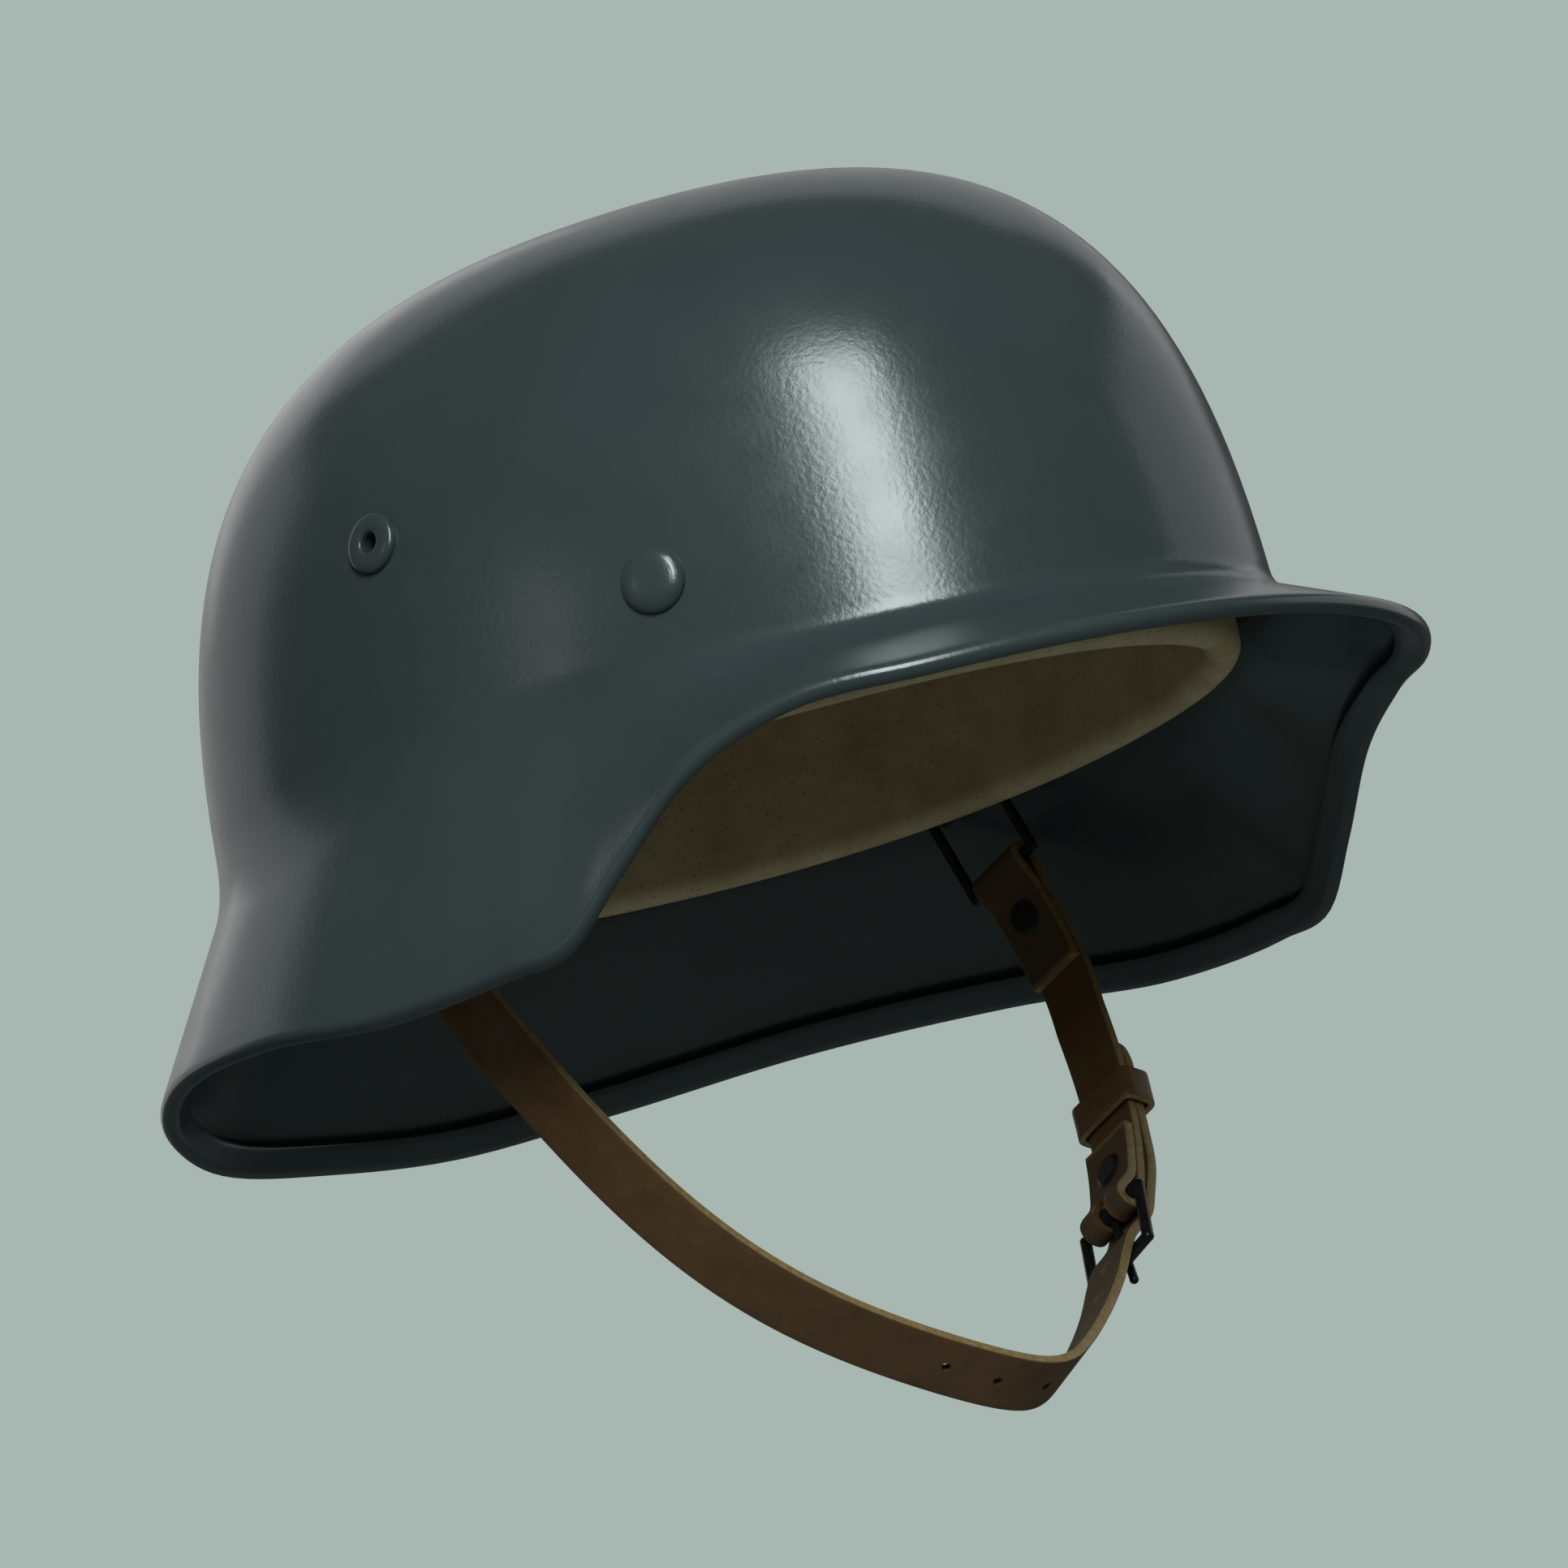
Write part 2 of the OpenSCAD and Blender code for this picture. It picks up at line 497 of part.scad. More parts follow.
// Frame of a bracket's plate on the outer band: +Z outwards, +Y up the plate
bracket_azimuth = 110.5;
bracket_z = 60;
module bracket_frame(side) {
    on_shell(side * bracket_azimuth, bracket_z) rotate([0, 0, -side * bail_lean]) children();
}
bracket_w = 13;
bracket_t = 1.2;
bracket_h = 14;
bracket_depth = outer_band_inset() + band_t + 0.6;
barrel_r = bail_wire / 2 + 0.1 + bracket_t;
BRACKET_RIVETS = [-3.8, 3.8];
module bracket_hole(x) {
    translate([x, 0, -12]) cylinder(d = rivet_d + 2 * hole_play, h = 11, $fn = 32);
}
module bail_bracket(side) {
    color("#3f4240") difference() {
        union() {
            bracket_frame(side) translate([-bracket_w / 2, -bracket_h / 2, -bracket_depth - bracket_t])
                cube([bracket_w, bracket_h, bracket_t]);
            hull() {
                bracket_frame(side) translate([-bracket_w / 2, -bracket_h / 2, -bracket_depth - bracket_t])
                    cube([bracket_w, 1, bracket_t]);
                hinge_frame(side) translate([-bracket_w / 2, -bracket_t / 2, barrel_r - 0.9])
                    cube([bracket_w, bracket_t, 0.8]);
            }
            hinge_frame(side) rotate([0, 90, 0]) cylinder(r = barrel_r, h = bracket_w, center = true, $fn = 48);
        }
        hinge_frame(side) rotate([0, 90, 0]) cylinder(d = bail_wire + 0.2, h = bracket_w + 2, center = true, $fn = 48);
        for (x = BRACKET_RIVETS) bracket_frame(side) bracket_hole(x);
    }
}
module bracket_rivets() {
    stack = band_t + bracket_t + 1.15;
    color("#b4b6b2") for (s = [-1, 1], x = BRACKET_RIVETS) bracket_frame(s)
        translate([x, 0, -outer_band_inset() + 0.35]) rivet(stack);
}
module bail(side) {
    half = bail_inside / 2 + bail_wire / 2;
    color("#1f2020") hinge_frame(side) {
        for (z = [0, -bail_drop]) translate([0, 0, z]) rotate([0, 90, 0])
            cylinder(d = bail_wire, h = 2 * half, center = true, $fn = 32);
        for (x = [-half, half]) {
            translate([x, 0, -bail_drop]) cylinder(d = bail_wire, h = bail_drop, $fn = 32);
            for (z = [0, -bail_drop]) translate([x, 0, z]) sphere(d = bail_wire, $fn = 32);
        }
    }
}

// The strap's route: from the right bail under the chin to the left bail, w from 0 to 2
CHIN = [32, 0, -89];
chin_bend = 0.13;
chin_lean = 30;
SIDE_PULL = [92.5, 79.5];
CHIN_PULL = [-18, 32.5, 19.5];
function cubic(a, b, c, d, t) = (1 - t) * (1 - t) * (1 - t) * a + 3 * t * (1 - t) * (1 - t) * b
    + 3 * t * t * (1 - t) * c + t * t * t * d;
draw_in = 3;
draw_end = 0.12;
function loop_cubic(t) = cubic(LOOP_TOP + [0, draw_in, 0],
    [LOOP_TOP[0], SIDE_PULL[1], LOOP_TOP[2]] + SIDE_PULL[0] * LOOP_DIR, CHIN + CHIN_PULL, CHIN, t)
    - [0, draw_in * pow(max(0, 1 - t / draw_end), 2), 0];
function rounded(t) = let (c = chin_bend, far = sqrt(1 + c * c) - c) 1 - (sqrt((1 - t) * (1 - t) + c * c) - c) / far;
function half_loop(t) = let (p = loop_cubic(rounded(t)), q = loop_cubic(t)) [p[0], q[1], p[2]];
function loop_point(w) = w <= 1 ? let (p = half_loop(w)) [p[0], -p[1], p[2]] : half_loop(2 - w);
function loop_lean(w) = let (s = w <= 1 ? w : 2 - w) bail_lean + (chin_lean - bail_lean) * s;
function loop_run(w) = unit(loop_point(min(2, w + 0.004)) - loop_point(max(0, w - 0.004)));
function loop_across(w) = let (g = loop_run(w), n = [cos(loop_lean(w)), 0, sin(loop_lean(w))]) unit(n - (n * g) * g);
function loop_out(w) = cross(loop_run(w), loop_across(w));
// A point beside the route: across the strap, and outwards from it
function beside(w, across, out) = loop_point(w) + across * loop_across(w) + out * loop_out(w);
// The route by its length from the right bail
route_steps = 40;
LENGTHS = [for (i = 0, s = 0; i <= 2 * route_steps;
    s = s + norm(loop_point(min(2, (i + 1) / route_steps)) - loop_point(i / route_steps)), i = i + 1)
    [s, i / route_steps]];
loop_length = LENGTHS[2 * route_steps][0];
function route(mm, across, out) = beside(lookup(mm, LENGTHS), across, out);
// Frame on the route: +X along it to the left bail, +Y across the strap, +Z outwards
module on_route(mm) {
    w = lookup(mm, LENGTHS);
    g = loop_run(w);
    a = loop_across(w);
    o = loop_out(w);
    translate(loop_point(w)) rotate([atan2(a[2], o[2]), -asin(g[2]), atan2(g[1], g[0])]) children();
}

// A strap through a list of centre points, directions across it and half widths
module ribbon(path) {
    last = len(path) - 1;
    half = strap_t / 2;
    points = [for (i = [0 : last]) let (c = path[i][0], a = path[i][1], h = path[i][2],
            g = unit(path[min(last, i + 1)][0] - path[max(0, i - 1)][0]), o = unit(cross(g, a)))
        each [c + h * a + half * o, c - h * a + half * o, c - h * a - half * o, c + h * a - half * o]];
    polyhedron(points, bar(last + 1, 4));
}
function strap_row(mm, out, half = strap_w / 2) = [route(mm, 0, out), loop_across(lookup(mm, LENGTHS)), half];
// The turn of a strap round a bar, from its inner to its outer layer
function turn_rows(mm, centre_out, r, ahead, from, to) = let (w = lookup(mm, LENGTHS), steps = 8)
    [for (i = [0 : steps]) let (t = from + (to - from) * i / steps)
        [beside(w, 0, centre_out - r * cos(t)) + ahead * r * sin(t) * loop_run(w), loop_across(w), strap_w / 2]];
function step_list(a, b, n) = [for (i = [0 : n]) a + (b - a) * i / n];

// Layers of the strap: offsets outwards from the route against the length along it
fold_end = 25;
fold_r = bail_wire / 2 + seat_play + strap_t / 2;
half_layer = (strap_t + seat_play) / 2;
stud_at = 11;
heel = loop_length - short_strap;
far = heel - buckle_l;
heel_out = -(buckle_wire / 2 + seat_play + strap_t / 2);
far_out = 1.5;
tail_out = strap_t + 0.3;
tail_end = heel + 46;
buckle_stud_at = heel + 12.5;
keeper_at = heel + 31;
FOLD_LAYER = [[0, fold_r], [7, half_layer + 0.1], [stud_at, half_layer], [fold_end, half_layer]];
LONG_LAYER = concat(FOLD_LAYER, [[fold_end + 12, 0], [far - 14, 0], [far - 2, -0.85],
    [far + 1, -0.8], [heel - 1, tail_out], [heel + 3, tail_out + 0.1], [buckle_stud_at, tail_out + 0.6],
    [keeper_at - 9, tail_out], [tail_end, tail_out]]);
HEEL_LAYER = [[0, -2 * heel_out], [7, strap_t + 0.2], [stud_at, strap_t + seat_play],
    [22, strap_t + seat_play]];
prong_hole_at = heel - 7;
first_hole = prong_hole_at - 8 * hole_pitch;
hole_count = 13;

module chinstrap_long() {
    tip = [[9, 1], [6, 0.98], [3, 0.86], [1.2, 0.62], [0, 0.3]];
    path = concat([for (s = step_list(fold_end, 1, 8)) strap_row(s, -along(FOLD_LAYER, s, 1))],
        turn_rows(0, 0, fold_r, -1, 10, 170),
        [for (s = step_list(1, 40, 14)) strap_row(s, along(LONG_LAYER, s, 1))],
        [for (s = step_list(45, far - 15, 36)) strap_row(s, along(LONG_LAYER, s, 1))],
        [for (s = step_list(far - 12, keeper_at, 26)) strap_row(s, along(LONG_LAYER, s, 1))],
        [for (e = tip) strap_row(tail_end - e[0], tail_out, strap_w / 2 * e[1])]);
    slot = [1.2, 10.4];
    slot_w = 2.6;
    color("#584c36") difference() {
        ribbon(path);
        on_route(stud_at) cylinder(r = stud_shank_r + hole_play, h = 12, center = true, $fn = 32);
        for (i = [0 : hole_count - 1]) if (i != 8) on_route(first_hole + i * hole_pitch)
            translate([0, 0, along(LONG_LAYER, first_hole + i * hole_pitch, 1)])
            cylinder(d = strap_hole_d, h = 3 * strap_t, center = true, $fn = 24);
        on_route(heel) translate([0, 0, -4]) {
            translate([-slot[1] + slot_w / 2, -slot_w / 2, 0]) cube([slot[1] - slot[0] - slot_w, slot_w, 10]);
            for (x = [-slot[1] + slot_w / 2, -slot[0] - slot_w / 2]) translate([x, 0, 0])
                cylinder(d = slot_w, h = 10, $fn = 32);
        }
    }
}
module chinstrap_short() {
    path = concat([for (s = step_list(fold_end, 1, 8)) strap_row(loop_length - s, -along(FOLD_LAYER, s, 1))],
        turn_rows(loop_length, 0, fold_r, 1, 10, 170),
        [for (s = step_list(1, 40, 14)) let (o = s < fold_end + 12 ? along(LONG_LAYER, s, 1) : 0)
            strap_row(loop_length - s, o)],
        [for (s = step_list(45, short_strap - 1, 12)) strap_row(loop_length - s, 0)],
        turn_rows(heel, heel_out, -heel_out, -1, 170, 10),
        [for (s = step_list(1, 21, 8)) strap_row(heel + s, -along(HEEL_LAYER, s, 1))]);
    color("#584c36") difference() {
        ribbon(path);
        on_route(loop_length - stud_at) cylinder(r = stud_shank_r + hole_play, h = 12, center = true, $fn = 32);
        on_route(buckle_stud_at) cylinder(r = stud_shank_r + hole_play, h = 12, center = true, $fn = 32);
        on_route(heel) translate([-4.2, -1.7, 2 * heel_out - strap_t]) cube([7, 3.4, 3 * strap_t + 2]);
    }
}

// Studs through two layers of strap, given the middle between the layers
stud_shank_r = 1.6;
stud_head_r = 3.6;
stud_head_t = 0.6;
stud_play = 0.12;
module stud(at, mid) {
    reach = half_layer + strap_t / 2 + stud_play;
    color("#3f4240") on_route(at) translate([0, 0, mid]) {
        cylinder(r = stud_shank_r, h = 2 * reach + 0.2, center = true, $fn = 32);
        translate([0, 0, reach]) cylinder(r1 = stud_head_r, r2 = stud_head_r - 0.8, h = stud_head_t, $fn = 48);
        translate([0, 0, -reach - stud_head_t])
            cylinder(r1 = stud_head_r - 0.8, r2 = stud_head_r, h = stud_head_t, $fn = 48);
    }
}

// Round bar between two points
module rod(p, q, d) {
    v = unit(q - p);
    translate(p) rotate([0, acos(v[2]), atan2(v[1], v[0])]) cylinder(d = d, h = norm(q - p), $fn = 32);
}
corner_extra = 0.1;
module buckle_frame() {
    half = strap_w / 2 + 1.25 + buckle_wire / 2;
    corners = [route(heel, -half, heel_out), route(heel, half, heel_out),
        route(far, half, far_out), route(far, -half, far_out)];
    color("#2a2b2b") for (i = [0 : 3]) {
        rod(corners[i], corners[(i + 1) % 4], buckle_wire);
        translate(corners[i]) sphere(d = buckle_wire + corner_extra, $fn = 32);
    }
}
prong_wire = 1.8;
prong_eye_w = 2.8;
prong_lift = 1.15;
module buckle_prong() {
    base = route(heel, 0, heel_out);
    tip = route(far - 1.6, 0, far_out + buckle_wire / 2 + prong_wire / 2 + prong_lift);
    bore = buckle_wire / 2 + hole_play;
    color("#2a2b2b") difference() {
        union() {
            on_route(heel) translate([0, 0, heel_out]) rotate([90, 0, 0])
                cylinder(r = bore + 1, h = prong_eye_w, center = true, $fn = 48);
            rod(base + 2 * unit(tip - base), tip, prong_wire);
            translate(tip) sphere(d = prong_wire + corner_extra, $fn = 32);
        }
        on_route(heel) translate([0, 0, heel_out]) rotate([90, 0, 0])
            cylinder(r = bore, h = prong_eye_w + 2, center = true, $fn = 48);
    }
}
module strap_keeper() {
    play = 0.4;
    wall = 1.5;
    keeper_w = 8;
    low = -strap_t / 2 - play;
    high = tail_out + strap_t / 2 + play;
    inside = strap_w + 2 * play;
    color("#4d422f") on_route(keeper_at) difference() {
        translate([-keeper_w / 2, -inside / 2 - wall, low - wall])
            cube([keeper_w, inside + 2 * wall, high - low + 2 * wall]);
        translate([-keeper_w, -inside / 2, low]) cube([2 * keeper_w, inside, high - low]);
    }
}

shell();
vent_bushing(-1);  // vent_bushing_right
vent_bushing(1);  // vent_bushing_left
vent_washer(-1);  // vent_washer_right
vent_washer(1);  // vent_washer_left
split_pin(-pin_azimuth, side_pin_z);  // split_pin_right
split_pin(pin_azimuth, side_pin_z);  // split_pin_left
split_pin(180, rear_pin_z);  // split_pin_rear
pin_washer(-pin_azimuth, side_pin_z);  // pin_washer_right
pin_washer(pin_azimuth, side_pin_z);  // pin_washer_left
pin_washer(180, rear_pin_z);  // pin_washer_rear
outer_band();
inner_band();
leaf_spring(SPRINGS[0][1]);  // leaf_spring_front_right
leaf_spring(SPRINGS[1][1]);  // leaf_spring_front_left
leaf_spring(SPRINGS[2][1]);  // leaf_spring_rear_right
leaf_spring(SPRINGS[3][1]);  // leaf_spring_rear_left
spring_rivets();
felt_band();
leather_liner();
liner_clips();
drawstring();
bail_bracket(-1);  // bail_bracket_right
bail_bracket(1);  // bail_bracket_left
bracket_rivets();
bail(-1);  // bail_right
bail(1);  // bail_left
chinstrap_long();
chinstrap_short();
stud(stud_at, 0);  // strap_stud_right
stud(loop_length - stud_at, 0);  // strap_stud_left
stud(buckle_stud_at, -half_layer);  // buckle_stud
buckle_frame();
buckle_prong();
strap_keeper();
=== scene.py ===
"""Steel helmet with a sprung leather liner and a buckled chinstrap, dressed over its solids.

The shell, the vent bushes, the leather, the felt, the clips and the cord are made here as fine
meshes in the solids' own frame, from the same sizes in millimetres. The other metal fittings keep
their solids and get a finish.
"""

import json
import logging
import math
from collections.abc import Callable
from dataclasses import dataclass, field
from enum import Enum

import bpy
from mathutils import Matrix, Vector

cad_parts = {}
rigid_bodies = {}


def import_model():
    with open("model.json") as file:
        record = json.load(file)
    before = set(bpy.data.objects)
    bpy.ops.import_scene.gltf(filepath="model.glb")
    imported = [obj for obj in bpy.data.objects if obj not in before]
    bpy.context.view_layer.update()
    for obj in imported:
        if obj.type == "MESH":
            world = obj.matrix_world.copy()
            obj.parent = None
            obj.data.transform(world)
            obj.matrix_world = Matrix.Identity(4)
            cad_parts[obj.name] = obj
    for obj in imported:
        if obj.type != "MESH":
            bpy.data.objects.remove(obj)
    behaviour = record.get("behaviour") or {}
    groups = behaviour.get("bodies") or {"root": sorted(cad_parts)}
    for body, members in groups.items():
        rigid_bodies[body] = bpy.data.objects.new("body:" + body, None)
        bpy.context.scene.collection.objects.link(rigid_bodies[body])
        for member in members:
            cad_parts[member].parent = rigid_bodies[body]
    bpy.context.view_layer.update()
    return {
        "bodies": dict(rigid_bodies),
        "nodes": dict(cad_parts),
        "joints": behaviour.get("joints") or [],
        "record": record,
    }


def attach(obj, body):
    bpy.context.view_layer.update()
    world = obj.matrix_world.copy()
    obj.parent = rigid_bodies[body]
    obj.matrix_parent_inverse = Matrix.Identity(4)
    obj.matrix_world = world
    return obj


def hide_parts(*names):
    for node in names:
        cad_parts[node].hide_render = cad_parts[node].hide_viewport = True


LOG = logging.getLogger("helmet")
MM = 0.001
Material = bpy.types.Material
Piece = bpy.types.Object
Socket = bpy.types.NodeSocket
Tree = bpy.types.NodeTree
Rows = list[list[Vector]]
Station = tuple[Vector, Vector, float]


# --------------------------------------------------------------------------- small helpers


def linear(code: str) -> tuple[float, float, float, float]:
    """Turns an sRGB hex value into a linear colour.

    Args:
        code: Six hex digits with a leading hash.

    Returns:
        Red, green, blue and alpha.
    """
    parts = [int(code[i : i + 2], 16) / 255 for i in (1, 3, 5)]
    red, green, blue = (c / 12.92 if c <= 0.04045 else ((c + 0.055) / 1.055) ** 2.4 for c in parts)
    return (red, green, blue, 1.0)


def add(tree: Tree, kind: str, links: dict | None = None, **settings: object) -> bpy.types.Node:
    """Adds a node with its settings and links.

    Args:
        tree: The node tree that gets it.
        kind: The node's type name.
        links: Values or output sockets, by the input's name or index.
        settings: Attributes of the node.

    Returns:
        The new node.
    """
    node = tree.nodes.new(kind)
    for name, value in settings.items():
        setattr(node, name, value)
    feed(tree, node, links or {})
    return node


def feed(tree: Tree, node: bpy.types.Node, links: dict) -> None:
    """Sets a node's inputs to values or output sockets, by the input's name or index."""
    for key, value in links.items():
        if isinstance(value, Socket):
            tree.links.new(value, node.inputs[key])
        else:
            node.inputs[key].default_value = value


def mix(tree: Tree, share: Socket, first: object, second: object) -> Socket:
    """Adds a mix of two colours, each a value or a socket."""
    return add(tree, "ShaderNodeMix", {"Factor": share, 6: first, 7: second}, data_type="RGBA").outputs[2]


def mesh_object(name: str, points: list[Vector], faces: list[tuple[int, ...]], finish: Material,
                angle: float | None = None) -> Piece:
    """Makes an object from points in millimetres.

    Args:
        name: The piece's name.
        points: Points in the part's frame, in millimetres.
        faces: Faces that point outwards.
        finish: The material.
        angle: Edges sharper than this many degrees stay sharp; none do if it is missing.

    Returns:
        The linked object, at the origin.
    """
    mesh = bpy.data.meshes.new(name)
    mesh.from_pydata([p * MM for p in points], [], faces)
    mesh.polygons.foreach_set("use_smooth", [True] * len(mesh.polygons))
    mesh.update()
    if angle is not None:
        mesh.set_sharp_from_angle(angle=math.radians(angle))
    mesh.materials.append(finish)
    piece = bpy.data.objects.new(name, mesh)
    bpy.context.scene.collection.objects.link(piece)
    return piece


def loft(rows: Rows, around: bool = True, along: bool = False) -> tuple[list[Vector], list[tuple[int, ...]]]:
    """Joins rows of points with faces and closes open ends of rings by flat ones.

    Args:
        rows: Rows of equally many points. Seen along the rows, the points run clockwise.
        around: Whether each row is a closed ring.
        along: Whether the last row joins the first.

    Returns:
        The points and the faces.
    """
    count, cols = len(rows), len(rows[0])
    points = [p for row in rows for p in row]
    faces: list[tuple[int, ...]] = []
    for i in range(count if along else count - 1):
        base, after = i * cols, ((i + 1) % count) * cols
        for j in range(cols if around else cols - 1):
            k = (j + 1) % cols
            faces.append((base + j, base + k, after + k, after + j))
    if around and not along:
        faces.append(tuple(range(cols - 1, -1, -1)))
        faces.append(tuple((count - 1) * cols + j for j in range(cols)))
    return points, faces


def lofted(name: str, rows: Rows, finish: Material, angle: float | None = None, along: bool = False) -> Piece:
    """Makes an object from rows that are closed rings.

    Args:
        name: The piece's name.
        rows: The rows in millimetres.
        finish: The material.
        angle: Edges sharper than this many degrees stay sharp.
        along: Whether the last row joins the first.

    Returns:
        The linked object.
    """
    points, faces = loft(rows, along=along)
    return mesh_object(name, points, faces, finish, angle)


def circle(angle: float, radius: float = 1.0) -> tuple[float, float]:
    """Gives the point of a circle at an angle in degrees."""
    turn = math.radians(angle)
    return radius * math.cos(turn), radius * math.sin(turn)


def normal_of(skin: Callable[[float, float], Vector], azimuth: float, rise: float) -> Vector:
    """Gives the outward normal of a skin, from the points half a step to each side."""
    level = skin(azimuth + 0.5, rise) - skin(azimuth - 0.5, rise)
    return level.cross(skin(azimuth, rise + 0.5) - skin(azimuth, rise - 0.5)).normalized()


def rotation_to(direction: Vector, across: Vector | None = None) -> Matrix:
    """Gives a rotation that turns +Z into a direction.

    Args:
        direction: Where +Z goes.
        across: Where +Y goes, as nearly as it can.

    Returns:
        A four by four matrix.
    """
    z = direction.normalized()
    y = (across or (Vector((0, 0, 1)) if abs(z.z) < 0.9 else Vector((1, 0, 0)))).copy()
    y = (y - y.dot(z) * z).normalized()
    x = y.cross(z)
    return Matrix((x, y, z)).transposed().to_4x4()


def turned(at: Vector, axis: Vector, profile: list[tuple[float, float]], sides: int) -> Rows:
    """Turns a half section about an axis.

    Args:
        at: Where the section's height is zero, in millimetres.
        axis: The axis.
        profile: Radii and heights.
        sides: The number of steps round the axis.

    Returns:
        One row of points for each step.
    """
    turn = rotation_to(axis)
    return [[at + turn @ Vector((r * math.cos(-t), r * math.sin(-t), h)) for r, h in profile]
            for t in (2 * math.pi * k / sides for k in range(sides))]


def cylinder(at: Vector, axis: Vector, radius: float, length: float, sides: int = 24) -> Piece:
    """Makes a cylinder that serves as a cutter.

    Args:
        at: Its middle, in millimetres.
        axis: Its direction.
        radius: Its radius in millimetres.
        length: Its length in millimetres.
        sides: Its number of sides.

    Returns:
        The object.
    """
    rows = [list(ring) for ring in zip(*turned(at, axis, [(radius, length / 2), (radius, -length / 2)], sides))]
    return lofted("cutter", rows, bpy.data.materials.get("cutter") or bpy.data.materials.new("cutter"))


def settle(piece: Piece) -> None:
    """Turns a piece's modifiers into plain mesh and clears them."""
    graph = bpy.context.evaluated_depsgraph_get()
    mesh = bpy.data.meshes.new_from_object(piece.evaluated_get(graph), preserve_all_data_layers=True,
                                           depsgraph=graph)
    piece.modifiers.clear()
    old, piece.data = piece.data, mesh
    name = old.name
    bpy.data.meshes.remove(old)
    mesh.name = name


def one_finish(piece: Piece, finish: Material) -> None:
    """Gives all of a piece's faces one finish and smooth shading."""
    mesh = piece.data
    mesh.materials.clear()
    mesh.materials.append(finish)
    mesh.polygons.foreach_set("material_index", [0] * len(mesh.polygons))
    mesh.polygons.foreach_set("use_smooth", [True] * len(mesh.polygons))


def cut(piece: Piece, cutters: list[Piece], angle: float) -> None:
    """Cuts holes through a piece and removes the cutters.

    Args:
        piece: The piece that gets the holes.
        cutters: Closed solids, which may not touch each other.
        angle: Edges sharper than this many degrees are sharp afterwards.
    """
    for number, cutter in enumerate(cutters):
        tool = piece.modifiers.new(f"hole_{number}", "BOOLEAN")
        tool.operation = "DIFFERENCE"
        tool.solver = "EXACT"
        tool.object = cutter
    settle(piece)
    for cutter in cutters:
        bpy.data.objects.remove(cutter)
    one_finish(piece, piece.data.materials[0])
    piece.data.set_sharp_from_angle(angle=math.radians(angle))


def joined(name: str, pieces: list[Piece]) -> Piece:
    """Joins several mesh objects into the first of them and names the result."""
    with bpy.context.temp_override(active_object=pieces[0], object=pieces[0], selected_objects=pieces,
                                   selected_editable_objects=pieces):
        bpy.ops.object.join()
    pieces[0].name = name
    pieces[0].data.name = name
    return pieces[0]


def claim(piece: Piece, body: str, node: str | None = None) -> Piece:
    """Args:
        piece: The piece.
        body: The body that it rides.
        node: The solid whose place it takes, if it takes one.

    Returns:
        The same piece.
    """
    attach(piece, body)
    if node:
        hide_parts(node)
    return piece


# --------------------------------------------------------------------------- form of the helmet


@dataclass(frozen=True)
class Track:
    """A smooth curve through stations, level at both ends."""

    stations: tuple[tuple[float, ...], ...]

    def slope(self, i: int, column: int) -> float:
        """Gives the mean slope between station i and the next."""
        s = self.stations
        return (s[i + 1][column] - s[i][column]) / (s[i + 1][0] - s[i][0])

    def tangent(self, i: int, column: int) -> float:
        """Gives the slope at a station."""
        s = self.stations
        if i in (0, len(s) - 1):
            return 0.0
        before, after = s[i][0] - s[i - 1][0], s[i + 1][0] - s[i][0]
        return (after * self.slope(i - 1, column) + before * self.slope(i, column)) / (before + after)

    def at(self, x: float, column: int = 1) -> float:
        """Gives one of the stations' values at a place."""
        s = self.stations
        i = 0
        while i < len(s) - 2 and x >= s[i + 1][0]:
            i += 1
        h = s[i + 1][0] - s[i][0]
        t = (x - s[i][0]) / h
        return ((2 * t**3 - 3 * t**2 + 1) * s[i][column] + (t**3 - 2 * t**2 + t) * h * self.tangent(i, column)
                + (3 * t**2 - 2 * t**3) * s[i + 1][column] + (t**3 - t**2) * h * self.tangent(i + 1, column))


